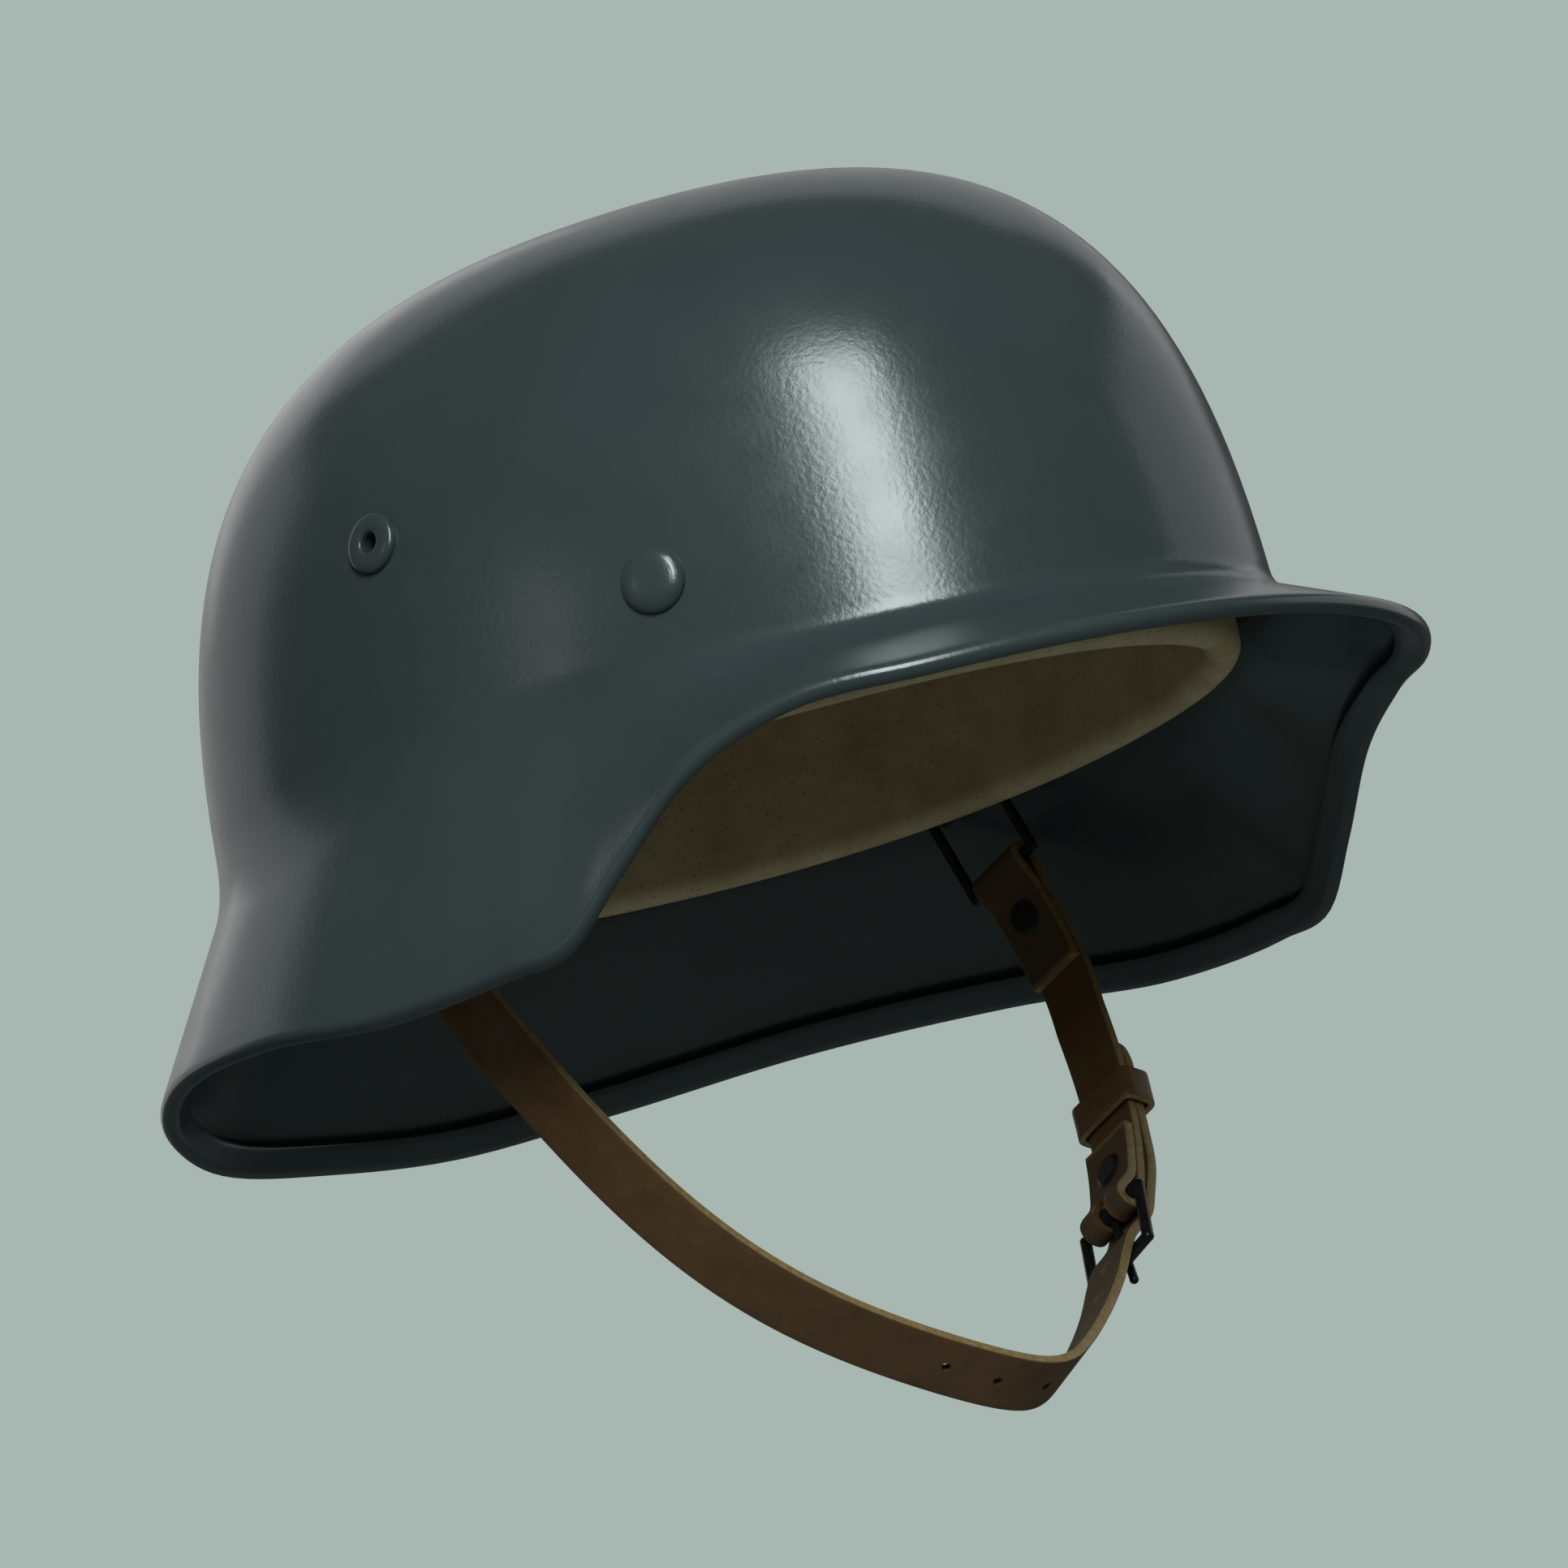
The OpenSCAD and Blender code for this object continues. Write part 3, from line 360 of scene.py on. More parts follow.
@dataclass(frozen=True)
class ShellForm:
    """The outer skin of the shell, in millimetres, by azimuth in degrees from the front."""

    half_length: float = 118.0
    half_width: float = 90.5
    egg: float = 0.09
    crown: float = 153.0
    foot: float = 14.5
    crown_power: float = 3.3
    side_power: float = 2.83
    sheet: float = 1.2
    roll: float = 2.0
    hem: float = 5.0
    dome_steps: int = 40
    bend_steps: int = 14
    skirt_steps: int = 8
    roll_steps: int = 16
    rim: Track = Track(((0, 139, 34), (18, 136.5, 33.5), (34, 130, 32.6), (46, 124, 32), (56, 119.5, 24.3),
                        (64, 118, 10.5), (70, 117.5, 0), (77, 116, -1.5), (92, 113.8, -1.5), (112, 117, 4),
                        (134, 124.5, 6), (152, 132.5, 3), (166, 138, 0), (180, 140, 0)))
    crease: Track = Track(((0, 46, 5, 6), (40, 46.6, 5.5, 7), (75, 46, 12, 15), (110, 45, 11.5, 12),
                           (145, 43.5, 10, 7), (180, 42.5, 8.5, 8)))

    @staticmethod
    def fold(azimuth: float) -> float:
        """Gives the azimuth on one side, from 0 to 180."""
        turn = azimuth % 360
        return 360 - turn if turn > 180 else turn

    def plan(self, azimuth: float) -> float:
        """Gives the dome's radius seen from above."""
        c, s = circle(azimuth)
        return 1 / math.hypot(c / self.half_length, s / (self.half_width * (1 - self.egg * c)))

    def dome_radius(self, azimuth: float, z: float) -> float:
        """Gives the dome's outer radius at a height."""
        level = min(1.0, max(0.0, (z - self.foot) / (self.crown - self.foot)))
        return self.plan(azimuth) * (1 - level**self.crown_power) ** (1 / self.side_power)

    @staticmethod
    def place(azimuth: float, radius: float, z: float) -> Vector:
        """Gives the point at an azimuth, a radius and a height."""
        return Vector((*circle(azimuth, radius), z))

    def dome_point(self, azimuth: float, z: float) -> Vector:
        """Gives a point on the outside of the dome."""
        return self.place(azimuth, self.dome_radius(azimuth, z), z)

    def dome_normal(self, azimuth: float, z: float) -> Vector:
        """Gives the dome's outward normal."""
        return normal_of(self.dome_point, azimuth, z)

    def crease_point(self, azimuth: float) -> Vector:
        """Gives the corner between dome and skirt as radius and height."""
        z = self.crease.at(self.fold(azimuth), 1)
        return Vector((self.dome_radius(azimuth, z), z))

    def rim_point(self, azimuth: float) -> Vector:
        """Gives the centre of the rim's roll as radius and height."""
        turn = self.fold(azimuth)
        return Vector((self.rim.at(turn, 1), self.rim.at(turn, 2)))

    def skin_normal(self, azimuth: float) -> Vector:
        """Gives the skirt's outward normal as radius and height."""
        d = (self.rim_point(azimuth) - self.crease_point(azimuth)).normalized()
        return Vector((-d.y, d.x))

    def skin(self, azimuth: float, short: float = 0.0) -> list[Vector]:
        """Gives the outer skin from near the crown to the rim's roll.

        Args:
            azimuth: The azimuth in degrees.
            short: How far before the roll it ends.

        Returns:
            Points of radius and height.
        """
        turn, corner, height = self.fold(azimuth), self.crease_point(azimuth), self.crown - self.foot
        end = self.rim_point(azimuth) + self.roll * self.skin_normal(azimuth)
        up, down = self.crease.at(turn, 2), self.crease.at(turn, 3)
        last = math.acos(((corner.y + up - self.foot) / height) ** (self.crown_power / 2))
        path = []
        for t in (last * i / self.dome_steps for i in range(1, self.dome_steps + 1)):
            path.append(Vector((self.plan(azimuth) * math.sin(t) ** (2 / self.side_power),
                                self.foot + height * math.cos(t) ** (2 / self.crown_power))))
        start, along = path[-1].copy(), (end - corner).normalized()
        low = corner + along * down
        for t in (i / self.bend_steps for i in range(1, self.bend_steps + 1)):
            path.append((1 - t) ** 2 * start + 2 * t * (1 - t) * corner + t * t * low)
        run = end - along * short - low
        return path + [low + run * i / self.skirt_steps for i in range(1, self.skirt_steps + 1)]

    def inner(self, azimuth: float, depth: float, short: float) -> list[Vector]:
        """Gives the inner skin, parallel to the outer one."""
        path = self.skin(azimuth, short)
        ways = [(after - before).normalized() for before, after in zip([path[0], *path], [*path[1:], path[-1]])]
        return [point + depth * Vector((way.y, -way.x)) for point, way in zip(path, ways)]

    def section(self, azimuth: float) -> list[Vector]:
        """Gives the sheet's whole section, round the roll and its hem and back up the inside."""
        centre, out = self.rim_point(azimuth), self.skin_normal(azimuth)
        down = Vector((out.y, -out.x))
        r, wall, end, steps = self.roll, self.roll - self.sheet, -self.hem, self.roll_steps
        roll = [circle(180 * i / steps, r) for i in range(1, steps + 1)]
        hem = [(-r, -1.6), (-r, -3.2), (-r, end + 0.5), (-r + 0.15, end + 0.15), (-r + 0.5, end),
               (-wall - 0.4, end + 0.1), (-wall - 0.1, end + 0.4), (-wall, end + 0.9), (-wall, end + 2.1),
               (-wall / 2, end + 2.6), (wall / 2, end + 2.6), (wall, end + 2.1), (wall, end + 0.6)]
        folded = [centre + out * a + down * b for a, b in roll + hem]
        return self.skin(azimuth) + folded + list(reversed(self.inner(azimuth, self.sheet, self.hem + 0.4)))


@dataclass(frozen=True)
class LinerForm:
    """Where the liner's bands and its leather lie, in millimetres."""

    shell: ShellForm = field(default_factory=ShellForm)
    fold_bottom: float = 36.5
    leather: float = 1.5
    felt: float = 2.7
    felt_gap: float = 1.1
    band: float = 0.8
    seat: float = 0.1
    band_height: float = 27.0
    flap_high: float = 53.0
    sweat_top: float = 76.0
    rise: float = 53.0
    finger_end: float = 67.0
    fingers: int = 8
    shell_gap: float = 2.6
    side_gap: float = 6.0
    front_gap: float = 1.3

    @property
    def fold_width(self) -> float:
        """Gives the width of the folded sweatband."""
        return self.band + self.felt_gap + self.felt + 2 * self.leather + 2 * self.seat

    @property
    def band_low(self) -> float:
        """Gives the height of the inner band's lower edge."""
        return self.fold_bottom + self.fold_width / 2 + 0.3

    def radius(self, azimuth: float) -> float:
        """Gives the radius of the inner band's outside."""
        gap = self.shell_gap + self.band + self.side_gap + self.front_gap * circle(azimuth)[0] ** 2
        return self.shell.dome_radius(azimuth, self.band_low + self.band_height / 2) - gap

    def outward(self, azimuth: float) -> Vector:
        """Gives the inner band's outward normal."""
        before, after = (self.shell.place(a, self.radius(a), 0) for a in (azimuth - 0.5, azimuth + 0.5))
        return (after - before).cross(Vector((0, 0, 1))).normalized()

    def flap_radius(self, azimuth: float) -> float:
        """Gives the radius of the outside of the leather's outer flap."""
        return self.radius(azimuth) + self.leather + self.seat

    def finger_point(self, azimuth: float, turn: float, depth: float = 0.0) -> Vector:
        """Gives a point on a finger.

        Args:
            azimuth: The azimuth in degrees.
            turn: The rise from the sweatband, 0, towards the crown, 90.
            depth: The depth inwards from the finger's outside.

        Returns:
            The point.
        """
        c, s = circle(turn)
        base = self.flap_radius(azimuth) - self.fold_width + self.leather
        return self.shell.place(azimuth, (base - depth) * c, self.sweat_top - 2 + (self.rise - depth) * s)

    def finger_normal(self, azimuth: float, turn: float) -> Vector:
        """Gives a finger's outward normal."""
        return normal_of(self.finger_point, azimuth, turn)


@dataclass(frozen=True)
class StrapRoute:
    """The strap's way from the right bail under the chin to the left bail, in millimetres."""

    top: Vector = field(default_factory=lambda: Vector((-18.7, 86.5, 24)))
    lean: float = 21.0
    chin_lean: float = 30.0
    chin: Vector = field(default_factory=lambda: Vector((32, 0, -89)))
    side_pull: tuple[float, float] = (92.5, 79.5)
    chin_pull: Vector = field(default_factory=lambda: Vector((-18, 32.5, 19.5)))
    bend: float = 0.13
    draw_in: float = 3.0
    draw_end: float = 0.12
    steps: int = 40
    lengths: list[float] = field(default_factory=list)

    def __post_init__(self) -> None:
        """Measures the route once."""
        self.lengths.append(0.0)
        for i in range(2 * self.steps):
            span = self.point((i + 1) / self.steps) - self.point(i / self.steps)
            self.lengths.append(self.lengths[-1] + span.length)

    @property
    def length(self) -> float:
        """Gives the whole length from bail to bail."""
        return self.lengths[-1]

    def raw(self, t: float) -> Vector:
        """Gives the free curve of one side."""
        down, ahead = circle(self.lean)
        hang = Vector((ahead, 0, -down))
        a = self.top + Vector((0, self.draw_in, 0))
        b = Vector((self.top.x, self.side_pull[1], self.top.z)) + self.side_pull[0] * hang
        c, d = self.chin + self.chin_pull, self.chin
        u = 1 - t
        drawn = self.draw_in * max(0.0, 1 - t / self.draw_end) ** 2
        return u**3 * a + 3 * t * u * u * b + 3 * t * t * u * c + t**3 * d - Vector((0, drawn, 0))

    def point(self, w: float) -> Vector:
        """Gives a point of the route, from 0 at the right bail to 2 at the left one."""
        t = w if w <= 1 else 2 - w
        far = math.hypot(1, self.bend) - self.bend
        soft = 1 - (math.hypot(1 - t, self.bend) - self.bend) / far
        p, q = self.raw(soft), self.raw(t)
        return Vector((p.x, -q.y if w <= 1 else q.y, p.z))

    def frame(self, w: float) -> tuple[Vector, Vector, Vector]:
        """Gives the directions along the route, across the strap and outwards."""
        along = (self.point(min(2, w + 0.004)) - self.point(max(0, w - 0.004))).normalized()
        s = w if w <= 1 else 2 - w
        ahead, up = circle(self.lean + (self.chin_lean - self.lean) * s)
        n = Vector((ahead, 0, up))
        across = (n - n.dot(along) * along).normalized()
        return along, across, along.cross(across)

    def share(self, mm: float) -> float:
        """Gives the route's parameter at a length from the right bail."""
        spans = self.lengths
        i = 0
        while i < len(spans) - 2 and mm > spans[i + 1]:
            i += 1
        t = (mm - spans[i]) / (spans[i + 1] - spans[i])
        return min(2.0, max(0.0, (i + t) / self.steps))

    def stand(self, mm: float) -> tuple[Vector, Vector, Vector, Vector]:
        """Gives the point so far from the right bail and the directions along, across and outwards."""
        w = self.share(mm)
        return self.point(w), *self.frame(w)


# --------------------------------------------------------------------------- finishes


class Grain(Enum):
    """How far apart a surface's finest bumps lie, in millimetres."""

    YARN = 0.35
    NAP = 0.6
    SKIN = 0.7
    PEBBLE = 0.8
    STOVED = 0.9
    PEEL = 1.1
    ROLLED = 1.4
    PORE = 1.5


@dataclass
class Surface:
    """A material while it is made, patterned in the object's own coordinates."""

    name: str

    def __post_init__(self) -> None:
        """Starts the material."""
        self.material = bpy.data.materials.new(self.name)
        self.material.use_nodes = True
        self.tree = self.material.node_tree
        self.place = add(self.tree, "ShaderNodeTexCoord").outputs["Object"]

    def noise(self, size: float, detail: float, rough: float = 0.5) -> Socket:
        """Adds a noise of so many layers whose grain has a size in millimetres."""
        return add(self.tree, "ShaderNodeTexNoise", {"Vector": self.place, "Scale": 1 / (size * MM),
                                                     "Detail": detail, "Roughness": rough}).outputs["Fac"]

    def cells(self, grain: Grain, feature: str) -> Socket:
        """Adds the distance from the middles of closely packed cells."""
        return add(self.tree, "ShaderNodeTexVoronoi", {"Vector": self.place, "Scale": 1 / (grain.value * MM)},
                   feature=feature).outputs["Distance"]

    def spread(self, value: Socket, low: float, high: float, start: float = 0.0, end: float = 1.0) -> Socket:
        """Maps the span from start to end onto the span from low to high."""
        return add(self.tree, "ShaderNodeMapRange", {"Value": value, "From Min": start, "From Max": end,
                                                     "To Min": low, "To Max": high}).outputs["Result"]

    def ramp(self, value: Socket, low: float, high: float, first: str, second: str) -> Socket:
        """Blends two hex colours while a value goes from low to high."""
        return mix(self.tree, self.spread(value, 0, 1, low, high), linear(first), linear(second))

    def bump(self, height: Socket, depth: float, below: Socket | None = None, strength: float = 1.0) -> Socket:
        """Adds a bump of a real depth.

        Args:
            height: The height from 0 to 1.
            depth: The depth in millimetres.
            below: The normal that it adds to.
            strength: How much of it counts.

        Returns:
            The normal.
        """
        links: dict = {"Height": height, "Distance": depth * MM, "Strength": strength}
        if below is not None:
            links["Normal"] = below
        return add(self.tree, "ShaderNodeBump", links).outputs["Normal"]

    def close(self, colour: Socket, rough: Socket | float, normal: Socket, **more: float) -> Material:
        """Feeds the shader.

        Args:
            colour: The base colour.
            rough: The roughness.
            normal: The normal with its bumps.
            more: Other inputs of the shader, with underscores for the spaces.

        Returns:
            The material.
        """
        links = {"Base Color": colour, "Roughness": rough, "Normal": normal}
        links.update({name.replace("_", " "): value for name, value in more.items()})
        feed(self.tree, self.tree.nodes["Principled BSDF"], links)
        return self.material


@dataclass(frozen=True)
class FieldPaint:
    """Sprayed semi-matt alkyd enamel on steel."""

    name: str = "alkyd_enamel_slate"
    colour: str = "#3f4a4c"
    lighter: str = "#444f51"
    roughness: float = 0.22
    peel: float = 0.036
    wave: float = 0.05

    def build(self) -> Material:
        """Builds the material."""
        # Sprayed enamel: a soft sheen whose edge breaks up in a fine orange peel, nearly even in
        # colour, with the sheet's own slow waves showing in the longest reflections.
        made = Surface(self.name)
        sheen = made.spread(made.noise(9, 4), self.roughness - 0.02, self.roughness + 0.03, 0.3, 0.7)
        waves = made.bump(made.noise(26, 1), self.wave, strength=0.5)
        return made.close(made.ramp(made.noise(38, 3), 0.35, 0.65, self.colour, self.lighter), sheen,
                          made.bump(made.noise(Grain.PEEL.value, 2), self.peel, waves), Specular_IOR_Level=0.7)


@dataclass(frozen=True)
class Metal:
    """Uncoated or plated steel."""

    name: str = "bare_steel"
    colour: str = "#8f918c"
    darker: str = "#6f716c"
    roughness: float = 0.42

    def build(self) -> Material:
        """Builds the material."""
        # Cold-rolled sheet or wire: dull, with fine scratches and faint stains from handling.
        made, grain = Surface(self.name), Grain.ROLLED.value
        rough = made.spread(made.noise(grain, 5), self.roughness - 0.1, self.roughness + 0.12)
        return made.close(made.ramp(made.noise(11, 5, 0.6), 0.35, 0.7, self.colour, self.darker), rough,
                          made.bump(made.noise(grain, 4), 0.01), Metallic=1.0)


@dataclass(frozen=True)
class BlackEnamel:
    """Stoved black enamel on wire and small plates."""

    name: str = "stoved_black_enamel"
    colour: str = "#151616"
    worn: str = "#2b2c2b"

    def build(self) -> Material:
        """Builds the material."""
        # Thin black stoving enamel: a low gloss, a little greyer where it has been rubbed.
        made = Surface(self.name)
        rub = made.noise(4, 5, 0.6)
        return made.close(made.ramp(rub, 0.5, 0.72, self.colour, self.worn), made.spread(rub, 0.28, 0.5),
                          made.bump(made.noise(Grain.STOVED.value, 2), 0.012))


@dataclass(frozen=True)
class LinerLeather:
    """Pale vegetable-tanned skin of the liner."""

    name: str = "pale_tanned_pigskin"
    colour: str = "#cbb88f"
    darker: str = "#b39d73"
    pore: str = "#8f7a54"

    def build(self) -> Material:
        """Builds the material."""
        # Thin vegetable-tanned skin: warm and pale with soft darker clouds at random, small open
        # pores and a silky grain.
        made = Surface(self.name)
        base = made.ramp(made.noise(14, 5, 0.6), 0.35, 0.7, self.colour, self.darker)
        pit = made.spread(made.cells(Grain.PORE, "F1"), 0, 1, 0.06, 0.22)
        pores = made.bump(pit, 0.05, made.bump(made.noise(Grain.SKIN.value, 3), 0.05))
        return made.close(mix(made.tree, pit, linear(self.pore), base), 0.58,
                          made.bump(made.noise(7, 4, 0.65), 0.35, pores), Specular_IOR_Level=0.35)


@dataclass(frozen=True)
class StrapLeather:
    """Dyed bridle leather with a pale cut edge and a rough back."""

    name: str = "dyed_strap_leather"
    colour: str = "#6b4e32"
    lighter: str = "#7e5b39"
    edge: str = "#a8905f"
    worn_edge: str = "#8d744a"
    back: str = "#574430"
    nap: str = "#6b563d"

    def build(self) -> Material:
        """Builds the material."""
        # Vegetable-tanned strap leather, dyed on the grain side only: the cut edge shows the pale
        # tan of the hide, the back is napped, and the grain side has a fine pebble and low sheen.
        made = Surface(self.name)
        rim, rear = (add(made.tree, "ShaderNodeAttribute", attribute_name=n).outputs["Fac"] for n in ("edge", "back"))
        face = made.ramp(made.noise(6, 6, 0.6), 0.3, 0.72, self.colour, self.lighter)
        nap = made.ramp(made.noise(0.9, 6, 0.7), 0.3, 0.7, self.back, self.nap)
        pale = made.ramp(made.noise(1.2, 5), 0.3, 0.7, self.edge, self.worn_edge)
        pebble = made.bump(made.cells(Grain.PEBBLE, "SMOOTH_F1"), 0.05)
        return made.close(mix(made.tree, rim, mix(made.tree, rear, face, nap), pale), made.spread(rear, 0.46, 0.85),
                          made.bump(made.noise(3, 5, 0.6), 0.08, pebble), Specular_IOR_Level=0.4)


@dataclass(frozen=True)
class WoolFelt:
    """Pressed grey wool felt."""

    name: str = "pressed_wool_felt"
    colour: str = "#8f8a7c"
    darker: str = "#77725f"

    def build(self) -> Material:
        """Builds the material."""
        # Pressed wool: matt, mottled by its mixed fibres, with a soft nap at grazing light.
        made = Surface(self.name)
        return made.close(made.ramp(made.noise(1.2, 8, 0.7), 0.3, 0.7, self.colour, self.darker), 0.95,
                          made.bump(made.noise(Grain.NAP.value, 6, 0.7), 0.25), Sheen_Weight=0.3)


@dataclass(frozen=True)
class CottonCord:
    """Laid cotton cord."""

    name: str = "laid_cotton_cord"
    colour: str = "#d8d0ba"
    darker: str = "#b5ab90"

    def build(self) -> Material:
        """Builds the material."""
        # Laid cotton: off-white and matt, its yarn finer than the strands that the mesh has.
        made = Surface(self.name)
        return made.close(made.ramp(made.noise(0.8, 6, 0.7), 0.3, 0.75, self.colour, self.darker), 0.9,
                          made.bump(made.noise(Grain.YARN.value, 4, 0.7), 0.08), Sheen_Weight=0.2)


@dataclass
class Palette:
    """Every finish, built once."""

    paint: Material = field(default_factory=FieldPaint().build)
    bare: Material = field(default_factory=Metal().build)
    band: Material = field(default_factory=Metal("galvanised_sheet", "#8b8d87", "#5f615b", 0.5).build)
    spring: Material = field(default_factory=Metal("blued_spring_steel", "#3d4148", "#2c2e33", 0.36).build)
    black: Material = field(default_factory=BlackEnamel().build)
    liner: Material = field(default_factory=LinerLeather().build)
    strap: Material = field(default_factory=StrapLeather().build)
    felt: Material = field(default_factory=WoolFelt().build)
    cord: Material = field(default_factory=CottonCord().build)


# --------------------------------------------------------------------------- sub-assemblies


@dataclass
class Shell:
    """The pressed sheet with its visor, skirt and rolled rim."""

    palette: Palette
    form: ShellForm = field(default_factory=ShellForm)
    vents: tuple[float, float, float] = (95.5, 92.0, 3.3)
    pins: tuple[float, float, float] = (56.5, 66.48, 2.6)
    rear_pin_z: float = 59.5
    cut_depth: float = 12.0
    sharp: float = 40.0

    @staticmethod
    def azimuths() -> list[float]:
        """Gives the azimuths of the sections, closer round the ear corners."""
        half = [2.0 * i for i in range(19)] + [38.0 + i for i in range(47)] + [86.0 + 2 * i for i in range(48)]
        return half + [360 - a for a in reversed(half[1:-1])]

    def build(self) -> Piece:
        """Builds the shell and cuts the holes for its fasteners."""
        form = self.form
        rows = [[form.place(a, p.x, p.y) for p in form.section(a)] for a in self.azimuths()]
        points, faces = loft(rows, around=False, along=True)
        cols, top = len(rows[0]), len(points)
        points += [Vector((0, 0, form.crown)), Vector((0, 0, form.crown - form.sheet))]
        for i in range(len(rows)):
            here, after = i * cols, ((i + 1) % len(rows)) * cols
            faces += [(top, here, after), (top + 1, after + cols - 1, here + cols - 1)]
        piece = mesh_object("shell_skin", points, faces, self.palette.paint, self.sharp)
        holes = [(side * azimuth, z, r) for azimuth, z, r in (self.vents, self.pins) for side in (-1, 1)]
        holes.append((180, self.rear_pin_z, self.pins[2]))
        cut(piece, [cylinder(form.dome_point(a, z), form.dome_normal(a, z), r, self.cut_depth, 32)
                    for a, z, r in holes], self.sharp)
        return claim(piece, "helmet", "shell")


@dataclass
class VentBush:
    """A hollow bush with a low domed flange, set through the sheet, and its flared inner end."""

    palette: Palette
    form: ShellForm = field(default_factory=ShellForm)
    azimuth: float = 95.5
    height: float = 92.0
    flange: float = 6.0
    bore: float = 2.0
    step: float = 0.2
    tube: float = 3.2
    edge: float = 0.4
    rise: float = 1.75
    bulge: tuple[float, float] = (2.6, 2.2)
    lip: float = 1.0
    bore_top: float = 1.1
    flare: float = -2.8
    seat: float = 0.1
    sides: int = 96

    def profile(self) -> list[tuple[float, float]]:
        """Gives the half section, from the flange's edge over the dome, down the bore and back.

        Returns:
            Radii from the bush's axis and heights over the sheet, in millimetres.
        """
        top = self.bore + self.lip
        points = [(self.flange, self.seat)]
        for i in range(21):
            x = circle(4.5 * i)[0] if i < 20 else 0.0
            points.append((top + (self.flange - top) * x,
                           self.edge + (self.rise - self.edge) * (1 - x ** self.bulge[0]) ** (1 / self.bulge[1])))
        for c, s in (circle(9 * i) for i in range(1, 11)):
            points.append((top - self.lip * s, self.rise - (self.rise - self.bore_top) * (1 - c)))
        inner, low = self.bore + self.step, self.flare
        return points + [(self.bore, self.step), (inner, 0), (inner, low - 0.4), (inner + 0.3, low - 0.8),
                         (self.tube + 0.8, low - 0.6), (self.tube + 1, low), (self.tube, low), (self.tube, self.seat)]

    def build(self) -> list[Piece]:
        """Builds the two bushes, turned about their axes."""
        pieces = []
        for side, name in ((-1, "right"), (1, "left")):
            azimuth = side * self.azimuth
            rows = turned(self.form.dome_point(azimuth, self.height), self.form.dome_normal(azimuth, self.height),
                          self.profile(), self.sides)
            piece = lofted(f"vent_bush_{name}", rows, self.palette.paint, 40, along=True)
            pieces.append(claim(piece, "helmet", f"vent_bushing_{name}"))
        return pieces


@dataclass
class Fittings:
    """The metal fittings, which keep their solids."""

    palette: Palette
    frame: dict

    def dress(self) -> int:
        """Gives each metal solid its finish.

        Returns:
            How many solids were dressed.
        """
        look = self.palette
        finishes = {
            ("split_pin",): look.paint,
            ("vent_washer", "pin_washer", "spring_rivets", "bracket_rivets"): look.bare,
            ("outer_band", "inner_band"): look.band,
            ("leaf_spring",): look.spring,
            ("bail_bracket", "bail_right", "bail_left", "strap_stud", "buckle"): look.black,
        }
        count = 0
        for node, piece in self.frame["nodes"].items():
            for starts, finish in finishes.items():
                if node.startswith(starts):
                    piece.data.materials.clear()
                    piece.data.materials.append(finish)
                    count += 1
        return count


